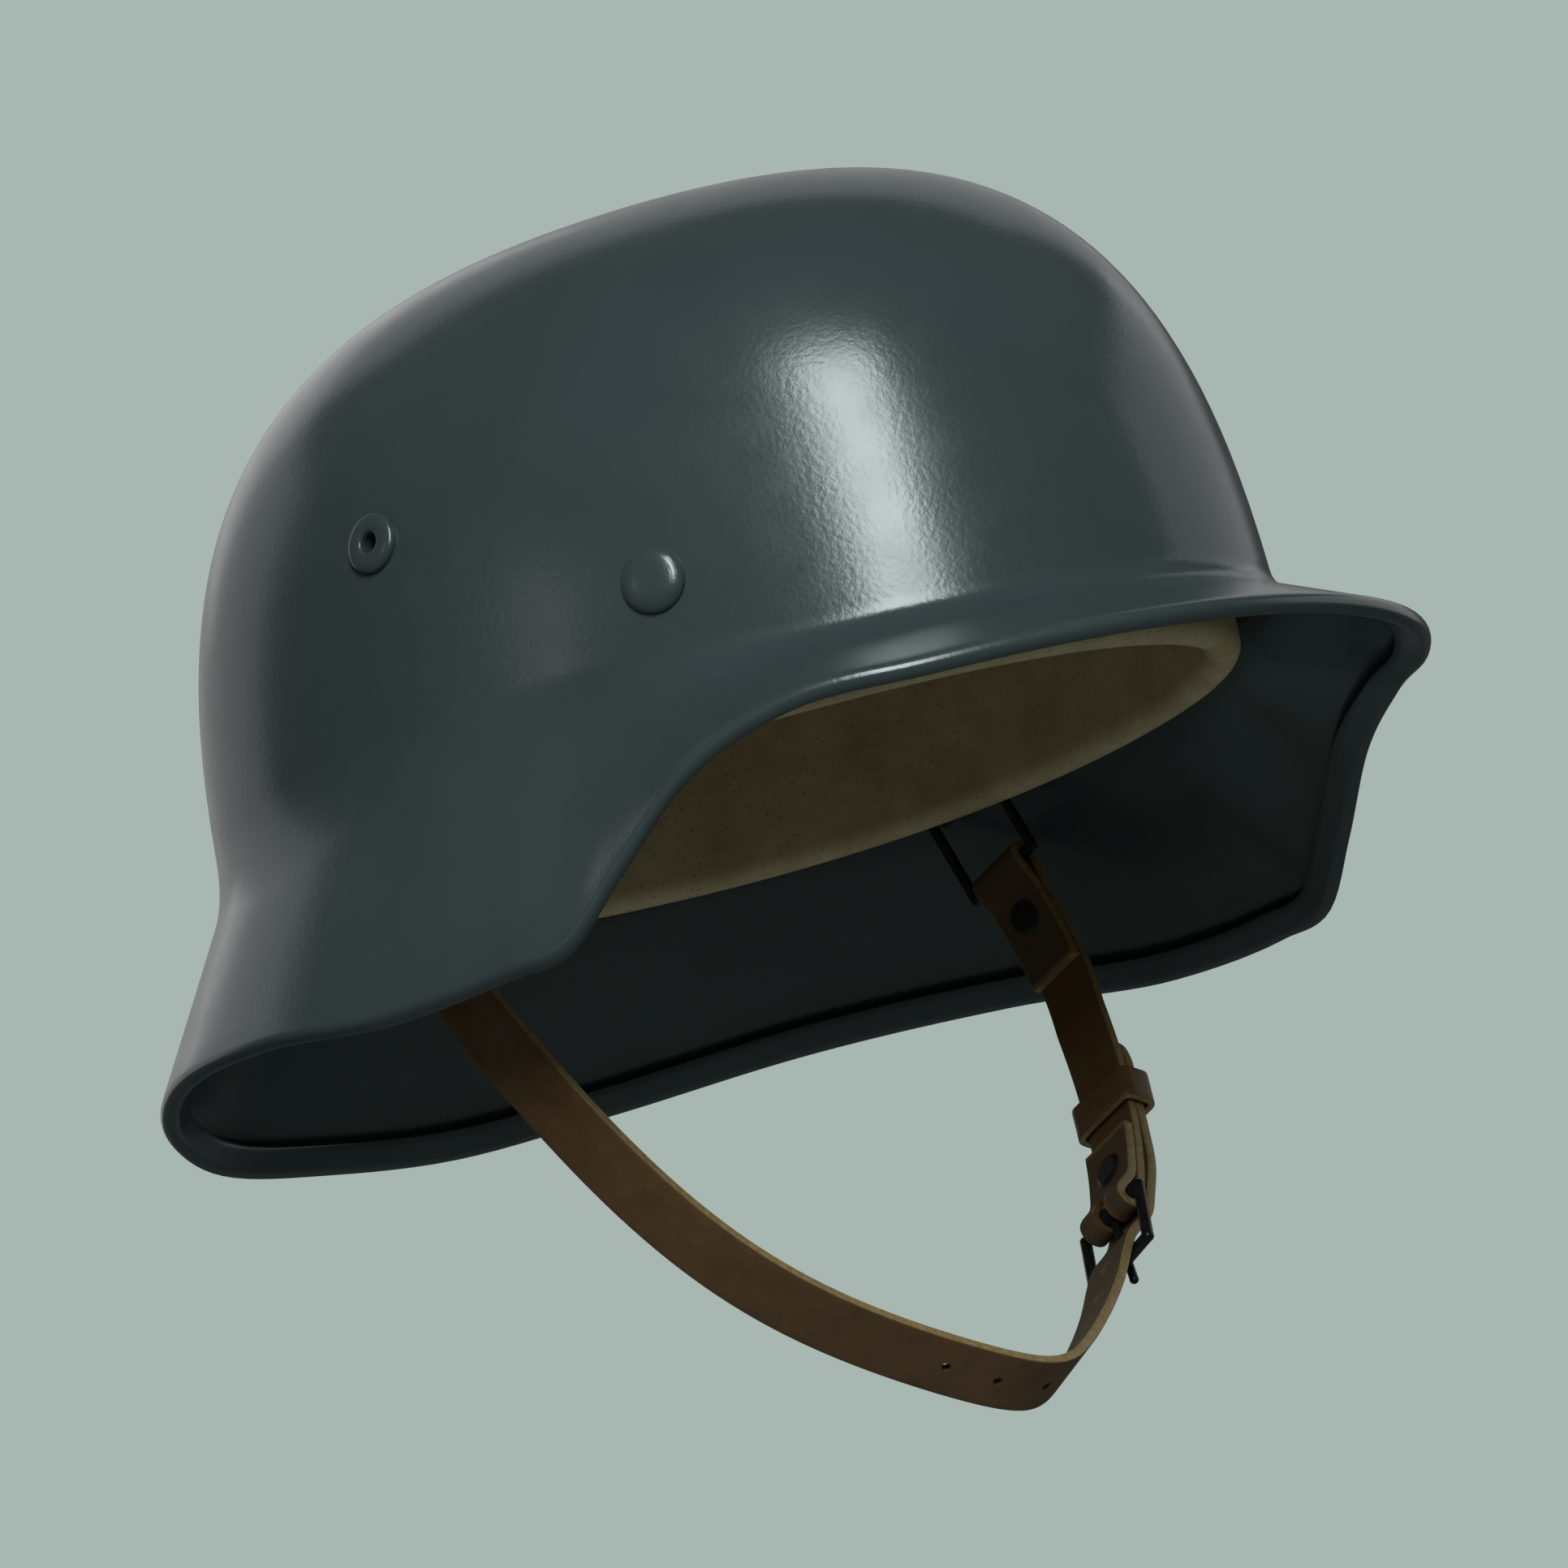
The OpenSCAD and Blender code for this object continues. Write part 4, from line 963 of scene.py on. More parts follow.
@dataclass
class Scatter:
    """A node tree that puts one small shape on every point of a mesh, turned by a direction."""

    name: str
    sizes: dict[str, float]

    def __post_init__(self) -> None:
        """Starts the tree with its sizes, in millimetres, as inputs."""
        self.tree = bpy.data.node_groups.new(self.name, "GeometryNodeTree")
        face = self.tree.interface
        face.new_socket("Points", in_out="INPUT", socket_type="NodeSocketGeometry")
        for name, value in self.sizes.items():
            face.new_socket(name, in_out="INPUT", socket_type="NodeSocketFloat").default_value = value * MM
        face.new_socket("Pieces", in_out="OUTPUT", socket_type="NodeSocketGeometry")
        self.given = add(self.tree, "NodeGroupInput").outputs

    def calc(self, operation: str, first: Socket, second: float) -> Socket:
        """Works out a value."""
        return add(self.tree, "ShaderNodeMath", {0: first, 1: second}, operation=operation).outputs[0]

    def vector(self, **parts: Socket) -> Socket:
        """Puts X, Y and Z together."""
        return add(self.tree, "ShaderNodeCombineXYZ", parts).outputs[0]

    def box(self, size: Socket, shift: Socket, domed: float = 0.0, **cuts: int) -> Socket:
        """Adds a box.

        Args:
            size: Its size.
            shift: How far it is moved.
            domed: How far it sinks with the square of its width.
            cuts: Vertices along X, Y and Z.

        Returns:
            The box.
        """
        links: dict = {"Size": size, **{f"Vertices {axis}": count for axis, count in cuts.items()}}
        shape = add(self.tree, "GeometryNodeMeshCube", links).outputs["Mesh"]
        if domed:
            parts = add(self.tree, "ShaderNodeSeparateXYZ", {0: add(self.tree, "GeometryNodeInputPosition").outputs[0]})
            drop = self.calc("MULTIPLY", self.calc("POWER", parts.outputs["Y"], 2.0), -domed)
            shape = add(self.tree, "GeometryNodeSetPosition", {"Geometry": shape,
                                                               "Offset": self.vector(X=drop)}).outputs[0]
        return add(self.tree, "GeometryNodeTransform", {"Geometry": shape, "Translation": shift}).outputs[0]

    def place(self, shape: Socket, finish: Material, spots: list[Vector], ways: list[Vector],
              **turn: str) -> Piece:
        """Ends the tree, runs it on points and keeps the result as plain mesh.

        Args:
            shape: The shape that every point gets.
            finish: Its material.
            spots: The points in millimetres.
            ways: Where the shape's axis points at each of them.
            turn: The shape's axis and the axis about which it may turn.

        Returns:
            The piece.
        """
        tree = self.tree
        way = add(tree, "GeometryNodeInputNamedAttribute", {"Name": "way"}, data_type="FLOAT_VECTOR")
        facing = add(tree, "FunctionNodeAlignRotationToVector", {"Vector": way.outputs["Attribute"]}, **turn)
        placed = add(tree, "GeometryNodeInstanceOnPoints", {"Points": self.given["Points"], "Instance": shape,
                                                            "Rotation": facing.outputs[0]})
        real = add(tree, "GeometryNodeRealizeInstances", {"Geometry": placed.outputs[0]})
        dressed = add(tree, "GeometryNodeSetMaterial", {"Geometry": real.outputs[0], "Material": finish})
        add(tree, "NodeGroupOutput", {"Pieces": dressed.outputs[0]})
        mesh = bpy.data.meshes.new(self.name)
        mesh.from_pydata([p * MM for p in spots], [], [])
        mesh.attributes.new("way", "FLOAT_VECTOR", "POINT").data.foreach_set("vector", [c for w in ways for c in w])
        piece = bpy.data.objects.new(self.name, mesh)
        bpy.context.scene.collection.objects.link(piece)
        piece.modifiers.new(self.name, "NODES").node_group = tree
        settle(piece)
        one_finish(piece, finish)
        return piece


@dataclass
class Liner:
    """The folded sweatband, its fingers, the felt, the clips and the drawstring."""

    palette: Palette
    form: LinerForm = field(default_factory=LinerForm)
    soft: float = 0.3
    band_steps: int = 240
    bend_steps: int = 14
    rise_steps: int = 9
    finger_steps: int = 40
    finger_cols: int = 22
    finger_gap: float = 0.8
    tip_start: float = 55.0
    hole: float = 2.5
    cord: float = 1.8
    cord_sides: int = 18
    lay: float = 5.0
    lace_turn: float = 59.0
    lace_play: float = 1.7
    cut_depth: float = 9.0
    clips: int = 30
    clip_drop: float = 3.0
    holes: tuple[tuple[float, float], ...] = ((14, -8), (14, 8), (28, -6.5), (28, 6.5), (42, 0))

    def sweatband(self) -> Piece:
        """Builds the leather band with its fold."""
        form, bend, rise, soft = self.form, self.bend_steps, self.rise_steps, self.soft
        turns = [180 * k / bend for k in range(bend + 1)]
        half, t, high, top = form.fold_width / 2, form.leather, form.flap_high, form.sweat_top
        zc = form.fold_bottom + half
        rows = []
        for a in (360 * i / self.band_steps for i in range(self.band_steps)):
            ro = form.flap_radius(a)
            mid, ri = ro - half, ro - 2 * half
            # Worn leather: the fold swells a little and the band ripples on its way round
            wave = circle(11 * a, 0.25)[1] + circle(23 * a + 40, 0.18)[1]
            section = [(ro - t, high - soft), (ro - t + soft, high), (ro - soft, high), (ro, high - soft)]
            section += [(ro, high - k) for k in (2.5, 5, 7.5)]
            section += [(mid + half * (1 + 0.02 * s) * c, zc - half * s) for c, s in map(circle, turns)]
            section += [(ri - circle(180 * k / rise, 0.35 + 0.3 * wave)[1], zc + (top - zc) * k / rise)
                        for k in range(1, rise)]
            section += [(ri, top - soft), (ri + soft, top), (ri + t - soft, top), (ri + t, top - soft)]
            section += [(mid + (half - t) * c, zc - (half - t) * s) for c, s in map(circle, reversed(turns))]
            rows.append([form.shell.place(a, r, z) for r, z in section])
        return lofted("sweatband", rows, self.palette.liner, 60, along=True)

    def finger(self, number: int) -> Piece:
        """Builds one finger with its round tip and its holes.

        Args:
            number: Which finger, counted from the front.

        Returns:
            The piece.
        """
        form, cols, steps = self.form, self.finger_cols, self.finger_steps
        pitch = 360 / form.fingers
        mid = pitch * (number + 0.5)
        rows = []
        for i in range(steps + 1):
            share = i / steps
            turn = form.finger_end * share
            late = max(0.0, (turn - self.tip_start) / (form.finger_end - self.tip_start))
            # A finger narrows towards its round tip and is skived thin where it leaves the band
            half = (pitch / 2 - self.finger_gap - 6 * share**2) * math.sqrt(1 - 0.8 * late * late)
            thin = 0.5 if i == 0 else 0.3 if turn < 8 else 0.0
            outer, inner = [], []
            for x in (2 * j / cols - 1 for j in range(cols + 1)):
                soft = max(thin, self.soft * abs(x) ** 14 + (self.soft if i == steps else 0))
                cup = circle(180 * share, 0.5)[1] * x * x
                outer.append(form.finger_point(mid + half * x, turn, soft + cup))
                inner.append(form.finger_point(mid + half * x, turn, form.leather - soft + cup))
            rows.append([*inner, *reversed(outer)])
        piece = lofted(f"finger_{number}", rows, self.palette.liner, 50)
        punches = [(t, a, self.hole) for t, a in self.holes] + [(self.lace_turn, 0, self.cord / 2 + self.lace_play)]
        cut(piece, [cylinder(form.finger_point(mid + a, t, form.leather / 2), form.finger_normal(mid + a, t), r,
                             self.cut_depth) for t, a, r in punches], 50)
        return piece

    def leather(self) -> Piece:
        """Builds the whole leather."""
        fingers = [self.finger(k) for k in range(self.form.fingers)]
        return claim(joined("liner_leather", [self.sweatband(), *fingers]), "helmet", "leather_liner")

    def felt(self) -> Piece:
        """Builds the felt band with its soft edges."""
        form, steps = self.form, 180
        low, high, t = form.band_low + 1, form.sweat_top - 6, form.felt
        rows = []
        for a in (360 * i / steps for i in range(steps)):
            r = form.radius(a) - form.band - form.felt_gap
            outer = [(r - 0.6, high), (r, high - 0.7), (r, (low + high) / 2), (r, low + 0.7), (r - 0.6, low)]
            rows.append([form.shell.place(a, radius, z)
                         for radius, z in outer + [(2 * r - t - radius, z) for radius, z in reversed(outer)]])
        return claim(lofted("felt_strip", rows, self.palette.felt, 50, along=True), "helmet", "felt_band")

    def string_point(self, azimuth: float) -> Vector:
        """Gives the middle of the drawstring, which weaves through the fingers."""
        form = self.form
        k = math.sin(math.radians(azimuth * form.fingers / 2 - 90))
        swing = self.cord / 2 + form.leather / 2 + 0.25
        return form.finger_point(azimuth, self.lace_turn, form.leather / 2 - swing * max(-1.0, min(1.0, 6 * k)))

    def laid_cord(self, name: str, path: list[Vector], closed: bool, swell: float = 0.0) -> Piece:
        """Sweeps a cord of three laid strands along a path.

        Args:
            name: The piece's name.
            path: The middle of the cord.
            closed: Whether the last point joins the first.
            swell: How much the cord's radius grows at the path's end.

        Returns:
            The piece.
        """
        rows, run, sides = [], 0.0, self.cord_sides
        total = sum((after - before).length for before, after in zip(path, path[1:]))
        turns = round(total / self.lay)
        for i, p in enumerate(path):
            before = path[i - 1] if i or closed else p
            after = path[(i + 1) % len(path)] if i < len(path) - 1 or closed else p
            g = (after - before).normalized()
            u = g.cross(Vector((0, 0, 1)))
            u = u.normalized() if u.length > 0.05 else g.cross(Vector((1, 0, 0))).normalized()
            v = u.cross(g)
            phase = 2 * math.pi * turns * run / (total + (path[0] - path[-1]).length * closed)
            size = self.cord / 2 * (1 + swell * (i / (len(path) - 1)) ** 6)
            ring = []
            # Three strands give the cord three soft ridges that wind along it
            for a in (2 * math.pi * k / sides for k in range(sides)):
                r = size * (0.86 + 0.14 * abs(math.cos(1.5 * a - phase)))
                ring.append(p + r * (math.cos(a) * u + math.sin(a) * v))
            rows.append(list(reversed(ring)))
            if i < len(path) - 1:
                run += (path[i + 1] - p).length
        return lofted(name, rows, self.palette.cord, along=closed)

    def drawstring(self) -> Piece:
        """Builds the drawstring, its knot and the two short ends."""
        ring = self.laid_cord("drawstring_ring", [self.string_point(i / 2) for i in range(720)], True)
        front, inward, size = self.string_point(0), Vector((-0.62, 0, -0.78)), 1.05
        loops = []
        for t in (2 * math.pi * i / 90 for i in range(90)):
            loops.append(front + 1.2 * inward + Vector((-math.sin(3 * t), size * (math.sin(t) + 2 * math.sin(2 * t)),
                                                        size * (math.cos(t) - 2 * math.cos(2 * t)))))
        knot = self.laid_cord("drawstring_knot", loops, True)
        tails = []
        for side in (-1, 1):
            path = [front + inward * (2 + 15 * s) + Vector((0, side * (2.0 + 5.5 * s), 3.5 * s * s))
                    for s in (i / 24 for i in range(25))]
            tails.append(self.laid_cord(f"drawstring_tail_{side + 1}", path, False, 0.25))
        return claim(joined("drawstring_cord", [ring, knot, *tails]), "helmet", "drawstring")

    def clip_ring(self) -> Piece:
        """Builds the clips that pin the leather's flap to the inner band."""
        form = self.form
        nodes = Scatter("clip_ring", {"Width": 6.0, "Height": 3.2, "Thickness": 0.6,
                                      "Leg": form.leather + form.band + 0.4, "Leg width": 2.4, "Leg height": 1.0})
        given = nodes.given
        # The plate is pressed to a shallow dome, so its ends lie lower than its middle
        plate = nodes.box(nodes.vector(X=given["Thickness"], Y=given["Width"], Z=given["Height"]),
                          nodes.vector(X=nodes.calc("MULTIPLY", given["Thickness"], 0.5)), 45.0, X=2, Y=6, Z=4)
        leg = nodes.box(nodes.vector(X=given["Leg"], Y=given["Leg width"], Z=given["Leg height"]),
                        nodes.vector(X=nodes.calc("MULTIPLY", given["Leg"], -0.5)))
        clip = add(nodes.tree, "GeometryNodeJoinGeometry")
        for shape in (plate, leg):
            nodes.tree.links.new(shape, clip.inputs[0])
        turns = [360 * (k + 0.5) / self.clips for k in range(self.clips)]
        ways = [form.outward(a) for a in turns]
        spots = [form.shell.place(a, form.radius(a), form.flap_high - self.clip_drop)
                 + (form.leather + form.seat) * way for a, way in zip(turns, ways)]
        piece = nodes.place(clip.outputs[0], self.palette.bare, spots, ways, axis="X", pivot_axis="Z")
        piece.data.set_sharp_from_angle(angle=math.radians(40))
        return claim(piece, "helmet", "liner_clips")

    def rear_seam(self) -> Piece:
        """Builds the two rows of stitches where the sweatband's ends meet at the rear."""
        form, each, pitch, apart = self.form, 9, 3.7, 1.9
        nodes = Scatter("rear_seam", {"Length": 2.7, "Thread": 0.8})
        ball = add(nodes.tree, "GeometryNodeMeshUVSphere", {"Segments": 8, "Rings": 6, "Radius": 0.5})
        size = nodes.vector(X=nodes.given["Thread"], Y=nodes.given["Thread"], Z=nodes.given["Length"])
        stitch = add(nodes.tree, "GeometryNodeTransform", {"Geometry": ball.outputs["Mesh"], "Scale": size})
        spots = [form.shell.place(a, form.flap_radius(a) - form.fold_width - 0.35, form.fold_bottom + 6 + pitch * k)
                 for a in (180 - apart, 180 + apart) for k in range(each)]
        piece = nodes.place(stitch.outputs[0], self.palette.cord, spots, [Vector((0, 0, 1))] * len(spots), axis="Z")
        return claim(piece, "helmet")

    def build(self) -> list[Piece]:
        """Builds every piece of the liner."""
        return [self.leather(), self.felt(), self.drawstring(), self.clip_ring(), self.rear_seam()]


@dataclass
class Chinstrap:
    """The two straps, the keeper and their holes."""

    palette: Palette
    route: StrapRoute = field(default_factory=StrapRoute)
    width: float = 13.5
    thick: float = 2.0
    soft: float = 0.35
    seat: float = 0.1
    bail_wire: float = 2.2
    buckle_wire: float = 2.4
    buckle_length: float = 14.0
    short: float = 90.0
    fold_end: float = 25.0
    fold_fade: float = 12.0
    turn_steps: int = 18
    stud_at: float = 11.0
    hole: float = 1.0
    pitch: float = 11.0
    hole_count: int = 13
    prong_in: int = 8
    stud_hole: float = 1.65
    cut_depth: float = 7.0
    past_heel: tuple[float, float, float] = (12.5, 31.0, 46.0)
    prong_at: float = 7.0
    slot_ends: tuple[float, float] = (1.2, 10.4)
    slot_width: float = 2.6
    tip: tuple[tuple[float, float], ...] = ((8, 0.998), (7, 0.99), (6, 0.975), (5, 0.95), (4, 0.915), (3, 0.86),
                                            (2, 0.77), (1.2, 0.66), (0.6, 0.52), (0.2, 0.36), (0, 0.22))

    def __post_init__(self) -> None:
        """Works out where the layers lie."""
        self.heel = self.route.length - self.short
        self.far = self.heel - self.buckle_length
        self.heel_out = -(self.buckle_wire / 2 + self.seat + self.thick / 2)
        self.tail_out = self.thick + 0.3
        self.buckle_stud, self.keeper, self.tail_end = (self.heel + past for past in self.past_heel)
        self.fold = self.bail_wire / 2 + self.seat + self.thick / 2
        self.half_layer = (self.thick + self.seat) / 2
        fold = ((0, self.fold), (7, self.half_layer + 0.1), (self.stud_at, self.half_layer),
                (self.fold_end, self.half_layer))
        self.fold_layer = Track(fold)
        self.long_layer = Track((*fold, (self.fold_end + self.fold_fade, 0), (self.far - 14, 0),
                                 (self.far - 2, -0.85), (self.far + 1, -0.8), (self.heel - 1, self.tail_out),
                                 (self.heel + 3, self.tail_out + 0.1), (self.buckle_stud, self.tail_out + 0.6),
                                 (self.keeper - 9, self.tail_out), (self.tail_end, self.tail_out)))
        self.heel_layer = Track(((0, -2 * self.heel_out), (7, self.thick + 0.2),
                                 (self.stud_at, self.thick + self.seat), (22, self.thick + self.seat)))

    def row(self, mm: float, out: float, share: float = 1.0) -> Station:
        """Gives a strap's middle, its direction across and its half width at a length."""
        base, _, across, outward = self.route.stand(mm)
        return base + out * outward, across, self.width / 2 * share

    def turn(self, mm: float, centre: float, radius: float, ahead: int, start: float, stop: float) -> list[Station]:
        """Gives the rows of a turn round a bar, from its inner to its outer layer.

        Args:
            mm: The bar's length along the route.
            centre: How far outwards the bar lies.
            radius: The turn's radius.
            ahead: 1 if the turn bulges along the route, else -1.
            start: Its first angle.
            stop: Its last angle.

        Returns:
            The rows.
        """
        base, along, across, out = self.route.stand(mm)
        arc = [circle(start + (stop - start) * i / self.turn_steps, radius) for i in range(self.turn_steps + 1)]
        return [(base + (centre - x) * out + ahead * y * along, across, self.width / 2) for x, y in arc]

    @staticmethod
    def steps(a: float, b: float, pitch: float = 1.5) -> list[float]:
        """Gives evenly spaced lengths from a to b."""
        n = max(1, round(abs(b - a) / pitch))
        return [a + (b - a) * i / n for i in range(n + 1)]

    def marked(self, name: str, rows: Rows, edge: list[float], back: list[float], along: bool = False) -> Piece:
        """Joins a strap's rows and marks its cut edge and its back for the finish."""
        piece = lofted(name, rows, self.palette.strap, 50, along=along)
        for label, values in (("edge", edge), ("back", back)):
            piece.data.attributes.new(label, "FLOAT", "POINT").data.foreach_set("value", values)
        return piece

    def ribbon(self, name: str, path: list[Station]) -> Piece:
        """Sweeps the strap's section along a path.

        Args:
            name: The piece's name.
            path: Rows of middle, direction across and half width.

        Returns:
            The piece, with its cut edge and its back marked.
        """
        half, soft = self.thick / 2, self.soft
        face = [(x / 4, -soft * (x // 4) if abs(x) == 4 else 0.0, half) for x in range(-4, 5)]
        curve = [(s - soft, half - soft + c) for c, s in (circle(a, soft) for a in (30, 60, 90))]
        outer = [(1, inset, z) for inset, z in curve]
        inner = [(1, inset, -z) for inset, z in reversed(curve)]
        side = [(1, 0.0, h) for h in (half * 0.3, -half * 0.3)]
        ring = [(x, inset, z, 0.0, 0.0) for x, inset, z in face]
        ring += [(x, inset, z, float(k > 0), 0.0) for k, (x, inset, z) in enumerate(outer)]
        ring += [(x, inset, z, 1.0, 0.0) for x, inset, z in side]
        ring += [(x, inset, z, 1.0, 1.0) for x, inset, z in inner]
        ring += [(-x, -inset, -z, 0.0, 1.0) for x, inset, z in face]
        ring += [(-x, -inset, -z, 1.0, 1.0) for x, inset, z in outer]
        ring += [(-x, -inset, -z, 1.0, 0.0) for x, inset, z in side]
        ring += [(-x, -inset, -z, float(k < 2), 0.0) for k, (x, inset, z) in enumerate(inner)]
        rows, edge, back, last = [], [], [], len(path) - 1
        for i, (centre, across, wide) in enumerate(path):
            out = (path[min(i + 1, last)][0] - path[max(i - 1, 0)][0]).normalized().cross(across).normalized()
            rows.append([centre + (x * wide + inset) * across + z * out for x, inset, z, _, _ in ring])
            edge += [1.0 if i in (0, last) else point[3] for point in ring]
            back += [point[4] for point in ring]
        return self.marked(name, rows, edge, back)

    def punch(self, mm: float, out: float, radius: float) -> Piece:
        """Makes the cutter of a round hole."""
        base, _, _, outward = self.route.stand(mm)
        return cylinder(base + out * outward, outward, radius, self.cut_depth)

    def heel_cutter(self, outline: list[tuple[float, float]], high: float, low: float) -> Piece:
        """Makes a cutter at the buckle's heel from an outline along and across the strap."""
        base, along, across, out = self.route.stand(self.heel)
        rows = [[base + x * along + y * across + z * out for x, y in reversed(outline)] for z in (high, low)]
        return lofted("heel_cutter", rows, self.palette.strap)

    def slot(self) -> Piece:
        """Makes the cutter of the prong's slot."""
        r = self.slot_width / 2
        outline = [(middle + x, y) for middle, start in ((-self.slot_ends[0] - r, -90), (-self.slot_ends[1] + r, 90))
                   for x, y in (circle(start + 15 * k, r) for k in range(13))]
        return self.heel_cutter(outline, 6, -4)

    def long_strap(self) -> Piece:
        """Builds the strap that runs from the right bail through the buckle."""
        path = [self.row(s, -self.fold_layer.at(s)) for s in self.steps(self.fold_end, 0.6)]
        path += self.turn(0, 0, self.fold, -1, 5, 175)
        path += [self.row(s, self.long_layer.at(s)) for s in self.steps(0.6, self.tail_end - 9)]
        path += [self.row(self.tail_end - back, self.tail_out, share) for back, share in self.tip]
        piece = self.ribbon("strap_long", path)
        spots = [self.heel - self.prong_at + (i - self.prong_in) * self.pitch
                 for i in range(self.hole_count) if i != self.prong_in]
        cut(piece, [self.punch(self.stud_at, 0, self.stud_hole), self.slot(),
                    *(self.punch(at, self.long_layer.at(at), self.hole) for at in spots)], 50)
        return claim(piece, "chinstrap", "chinstrap_long")

    def short_strap(self) -> Piece:
        """Builds the strap that carries the buckle."""
        total = self.route.length
        path = [self.row(total - s, -self.fold_layer.at(s)) for s in self.steps(self.fold_end, 0.6)]
        path += self.turn(total, 0, self.fold, 1, 5, 175)
        path += [self.row(total - s, self.long_layer.at(s) if s < self.fold_end + self.fold_fade else 0.0)
                 for s in self.steps(0.6, self.short - 0.6)]
        path += self.turn(self.heel, self.heel_out, -self.heel_out, -1, 175, 5)
        path += [self.row(self.heel + s, -self.heel_layer.at(s)) for s in self.steps(0.6, 21)]
        piece = self.ribbon("strap_short", path)
        window = self.heel_cutter([(-4.2, -1.7), (2.8, -1.7), (2.8, 1.7), (-4.2, 1.7)], 3.4,
                                  2 * self.heel_out - self.thick)
        cut(piece, [self.punch(total - self.stud_at, 0, self.stud_hole),
                    self.punch(self.buckle_stud, -1, self.stud_hole), window], 50)
        return claim(piece, "chinstrap", "chinstrap_short")

    def keeper_loop(self) -> Piece:
        """Builds the loop that holds the strap's end."""
        play, wall, wide, corner, soft = 0.6, 1.5, 8.0, 1.0, self.soft
        base, along, across, out = self.route.stand(self.keeper)
        low, high = -self.thick / 2 - play, self.tail_out + self.thick / 2 + play
        half = self.width / 2 + play
        path = [(cx + corner * c, cz + corner * s, c, s)
                for cx, cz, start in ((half - corner, high - corner, 0), (-half + corner, high - corner, 90),
                                      (-half + corner, low + corner, 180), (half - corner, low + corner, 270))
                for c, s in (circle(start + 15 * k) for k in range(7))]
        profile = [(-1.0, wall, soft), (-0.5, wall, 0), (0.0, wall, 0), (0.5, wall, 0), (1.0, wall, soft),
                   (1.0, wall - soft, 0), (1.0, soft, 0), (1.0, 0.0, soft), (0.0, 0.0, 0), (-1.0, 0.0, soft),
                   (-1.0, soft, 0), (-1.0, wall - soft, 0)]
        rows = [[base + (u * wide / 2 - math.copysign(inset, u)) * along + (x + rise * nx) * across
                 + (z + rise * nz) * out for u, rise, inset in profile] for x, z, nx, nz in reversed(path)]
        edge = [float(abs(u) == 1 and inset == 0) for u, _, inset in profile] * len(path)
        back = [float(rise == 0) for _, rise, _ in profile] * len(path)
        return claim(self.marked("keeper_loop", rows, edge, back, True), "keeper", "strap_keeper")

    def build(self) -> list[Piece]:
        """Builds every piece of leather in the chinstrap."""
        return [self.long_strap(), self.short_strap(), self.keeper_loop()]


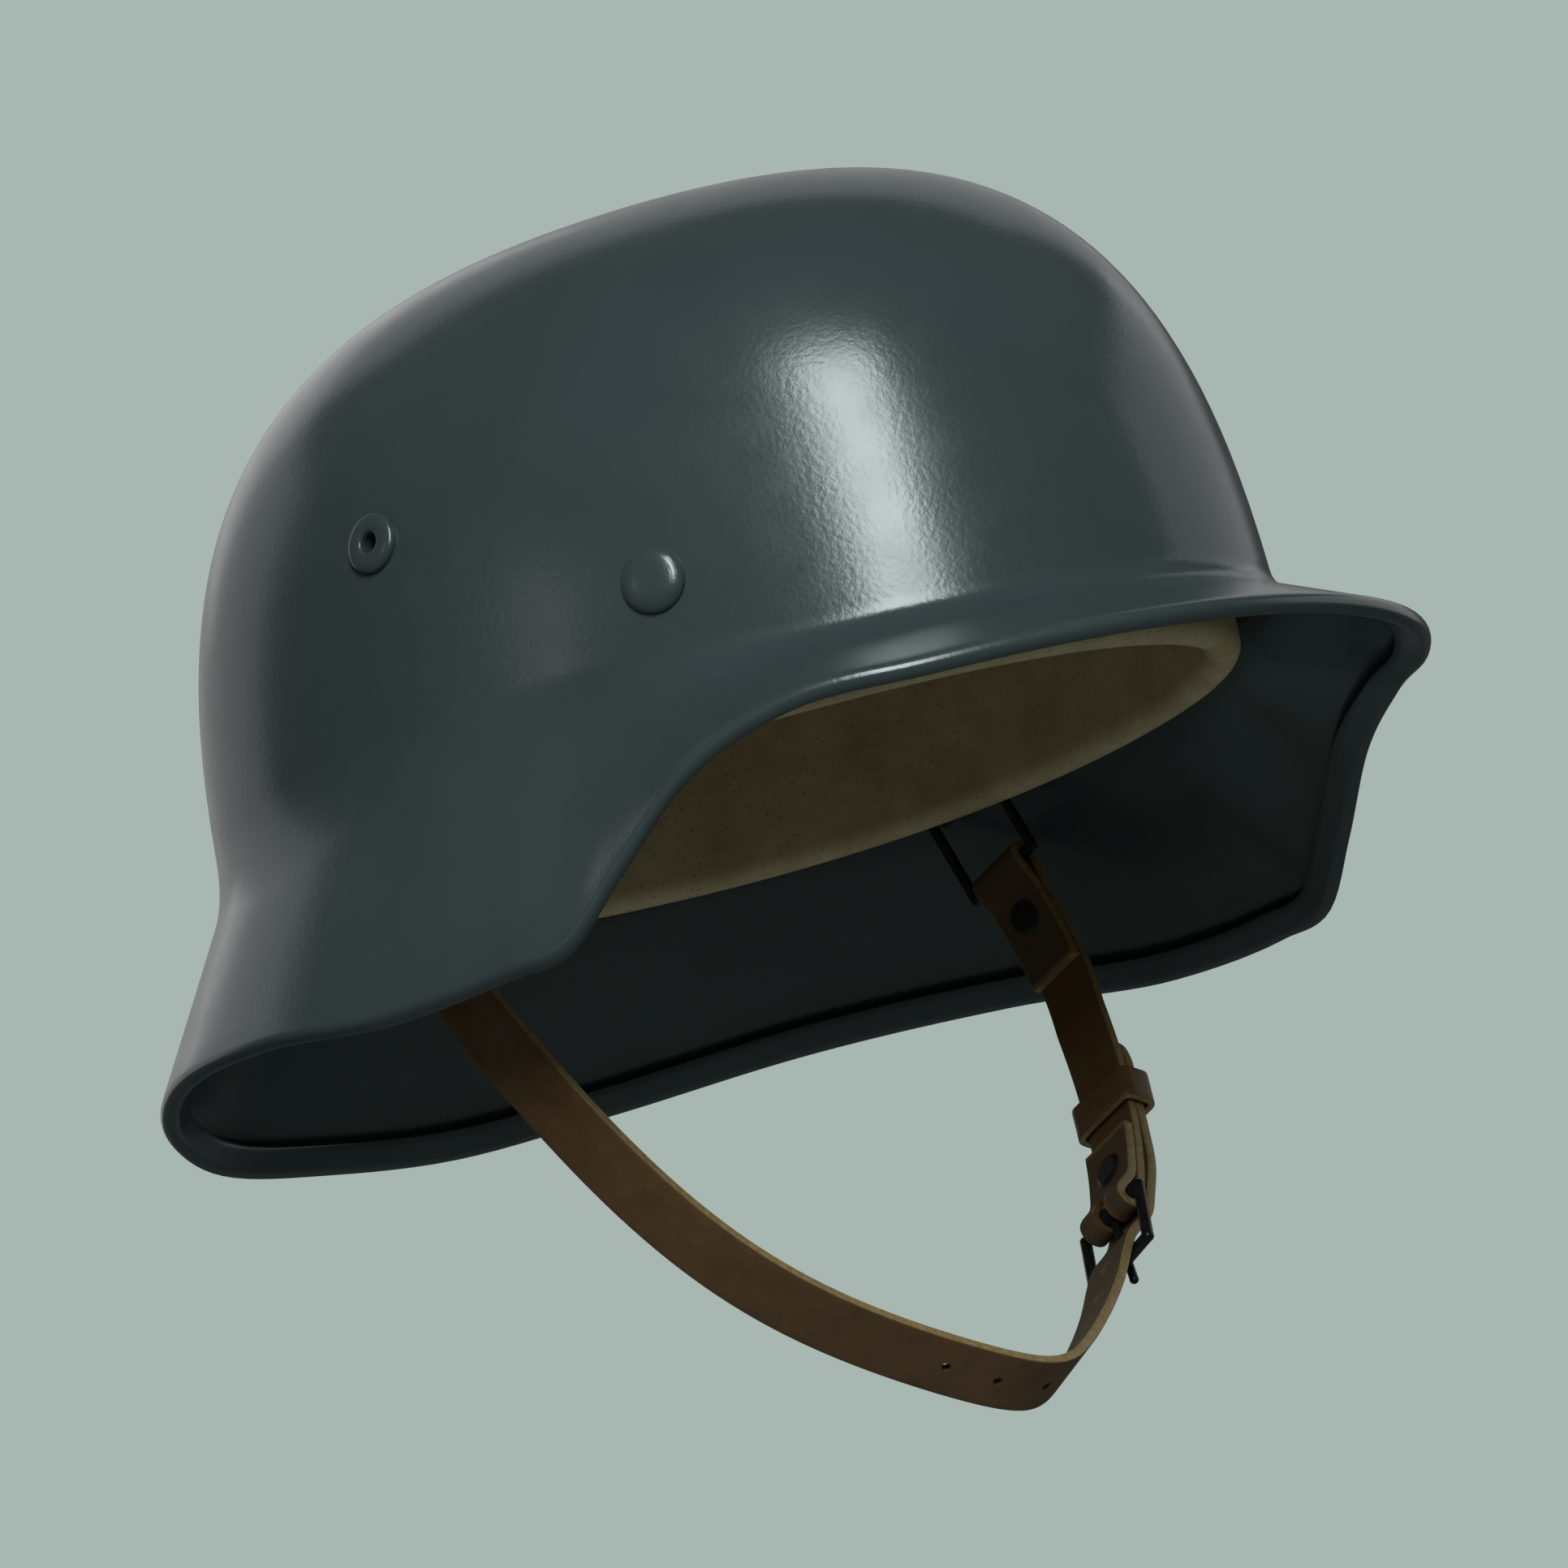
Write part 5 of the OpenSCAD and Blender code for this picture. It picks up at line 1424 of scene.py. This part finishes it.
@dataclass
class Studio:
    """The camera, the lamps, the backdrop and the floor."""

    azimuth: float = 40.98
    elevation: float = -10.38
    roll: float = -13.25
    distance: float = 2.28416
    target: float = 0.06
    focal_px: float = 14377.75
    centre_px: tuple[float, float] = (915.11, 842.35)
    frame_px: float = 1932.0
    sensor: float = 36.0
    floor_z: float = -1.7
    floor_half: float = 6.0
    floor_glow: float = 0.94
    backdrop: str = "#a8b7b1"
    floor_seen: str = "#9aa5a1"
    floor_bounce: str = "#e0e6e4"
    room_light: str = "#b9c4c0"
    room_strength: float = 0.1

    def camera(self) -> None:
        """Places the camera at the photograph's view."""
        level, lift = circle(self.elevation)
        right = Vector((*circle(self.azimuth), 0))
        back = Vector((right.y * level, -right.x * level, lift))
        up = back.cross(right)
        c, s = circle(self.roll)
        x, y = right * c + up * s, up * c - right * s
        data = bpy.data.cameras.new("camera")
        data.sensor_width = self.sensor
        data.lens = self.sensor * self.focal_px / self.frame_px
        data.shift_x = (self.frame_px / 2 - self.centre_px[0]) / self.frame_px
        data.shift_y = (self.centre_px[1] - self.frame_px / 2) / self.frame_px
        data.clip_end = 50
        camera = bpy.data.objects.new("camera", data)
        camera.matrix_world = Matrix.Translation(back * self.distance + Vector((0, 0, self.target))) @ Matrix(
            (x, y, back)).transposed().to_4x4()
        bpy.context.scene.collection.objects.link(camera)
        bpy.context.scene.camera = camera

    def lamp(self, name: str, azimuth: float, elevation: float, distance: float, size: tuple[float, float],
             watts: float, colour: str = "#ffffff") -> None:
        """Places a soft lamp that faces the helmet.

        Args:
            name: Its name.
            azimuth: Its direction, from +X towards +Y, in degrees.
            elevation: Its height above the horizon in degrees.
            distance: Its distance in metres.
            size: Its width and height in metres.
            watts: Its power.
            colour: Its colour.
        """
        data = bpy.data.lights.new(name, "AREA")
        data.shape = "RECTANGLE"
        data.size, data.size_y = size
        data.energy = watts
        data.color = linear(colour)[:3]
        level, lift = circle(elevation)
        way = Vector((*circle(azimuth, level), lift))
        lamp = bpy.data.objects.new(name, data)
        lamp.matrix_world = Matrix.Translation(way * distance + Vector((0, 0, self.target))) @ rotation_to(
            way, Vector((0, 0, 1)))
        bpy.context.scene.collection.objects.link(lamp)

    @staticmethod
    def seen(tree: Tree) -> tuple[Socket, Socket]:
        """Gives whether a ray comes straight from the camera, and whether it is a diffuse one."""
        path = add(tree, "ShaderNodeLightPath").outputs
        both = add(tree, "ShaderNodeMath", {0: path["Is Camera Ray"], 1: path["Is Transmission Ray"]},
                   operation="MAXIMUM")
        return both.outputs[0], path["Is Diffuse Ray"]

    def world(self) -> None:
        """Sets the pale backdrop for the camera and an even light for the rest."""
        world = bpy.data.worlds.new("room")
        bpy.context.scene.world = world
        world.use_nodes = True
        tree = world.node_tree
        tree.nodes.clear()
        room = add(tree, "ShaderNodeBackground", {"Color": linear(self.room_light), "Strength": self.room_strength})
        wall = add(tree, "ShaderNodeBackground", {"Color": linear(self.backdrop), "Strength": 1.0})
        blend = add(tree, "ShaderNodeMixShader", {0: self.seen(tree)[0], 1: room.outputs[0], 2: wall.outputs[0]})
        add(tree, "ShaderNodeOutputWorld", {"Surface": blend.outputs[0]})

    def floor(self) -> None:
        """Lays the plain pale floor, far below the helmet."""
        material = bpy.data.materials.new("painted_floor")
        material.use_nodes = True
        tree = material.node_tree
        # Nearly as pale as the backdrop where it is seen, with a little room left for a shadow.
        # It lies far below, so that it hides nothing from low angles, and throws light back up
        seen, diffuse = self.seen(tree)
        glow = add(tree, "ShaderNodeMath", {0: seen, 1: self.floor_glow}, operation="MULTIPLY")
        tone = mix(tree, diffuse, linear(self.floor_seen), linear(self.floor_bounce))
        feed(tree, tree.nodes["Principled BSDF"], {"Base Color": tone, "Roughness": 0.9,
                                                   "Emission Color": linear(self.backdrop),
                                                   "Emission Strength": glow.outputs[0]})
        half, z = self.floor_half / MM, self.floor_z / MM
        corners = [Vector((x * half, y * half, z)) for x, y in ((-1, -1), (1, -1), (1, 1), (-1, 1))]
        mesh_object("floor", corners, [(0, 1, 2, 3)], material)

    def build(self) -> None:
        """Builds the whole studio."""
        self.camera()
        self.world()
        self.floor()
        # A tall window in front and above gives the long highlight on the brow
        self.lamp("window", -46, 29, 1.6, (0.4, 1.1), 17, "#f0fbfa")
        # A small dim opening to the right gives the faint glow over the ear
        self.lamp("side_window", -101, 17, 1.8, (0.3, 0.35), 0.25)
        # Broad dim panels behind the helmet give its outline a soft sheen
        self.lamp("front_panel", 70, 12, 2.6, (3.0, 1.8), 8)
        self.lamp("crown_panel", 130, 40, 2.6, (3.0, 2.0), 7)
        self.lamp("rear_panel", 165, 20, 2.6, (2.6, 1.8), 5.5)
        bpy.context.scene.view_settings.view_transform = "Standard"


def main() -> None:
    """Builds the helmet piece by piece and reports each one."""
    logging.basicConfig(level=logging.INFO, format="%(name)s: %(message)s")
    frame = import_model()
    palette = Palette()
    Studio().build()
    LOG.info("dressed %d metal solids", Fittings(palette, frame).dress())
    pieces = [Shell(palette).build(), *VentBush(palette).build(), *Liner(palette).build(),
              *Chinstrap(palette).build()]
    for piece in pieces:
        LOG.info("%s: %d faces", piece.name, len(piece.data.polygons))
    bpy.data.materials.remove(bpy.data.materials["cutter"])


if __name__ == "__main__":
    main()
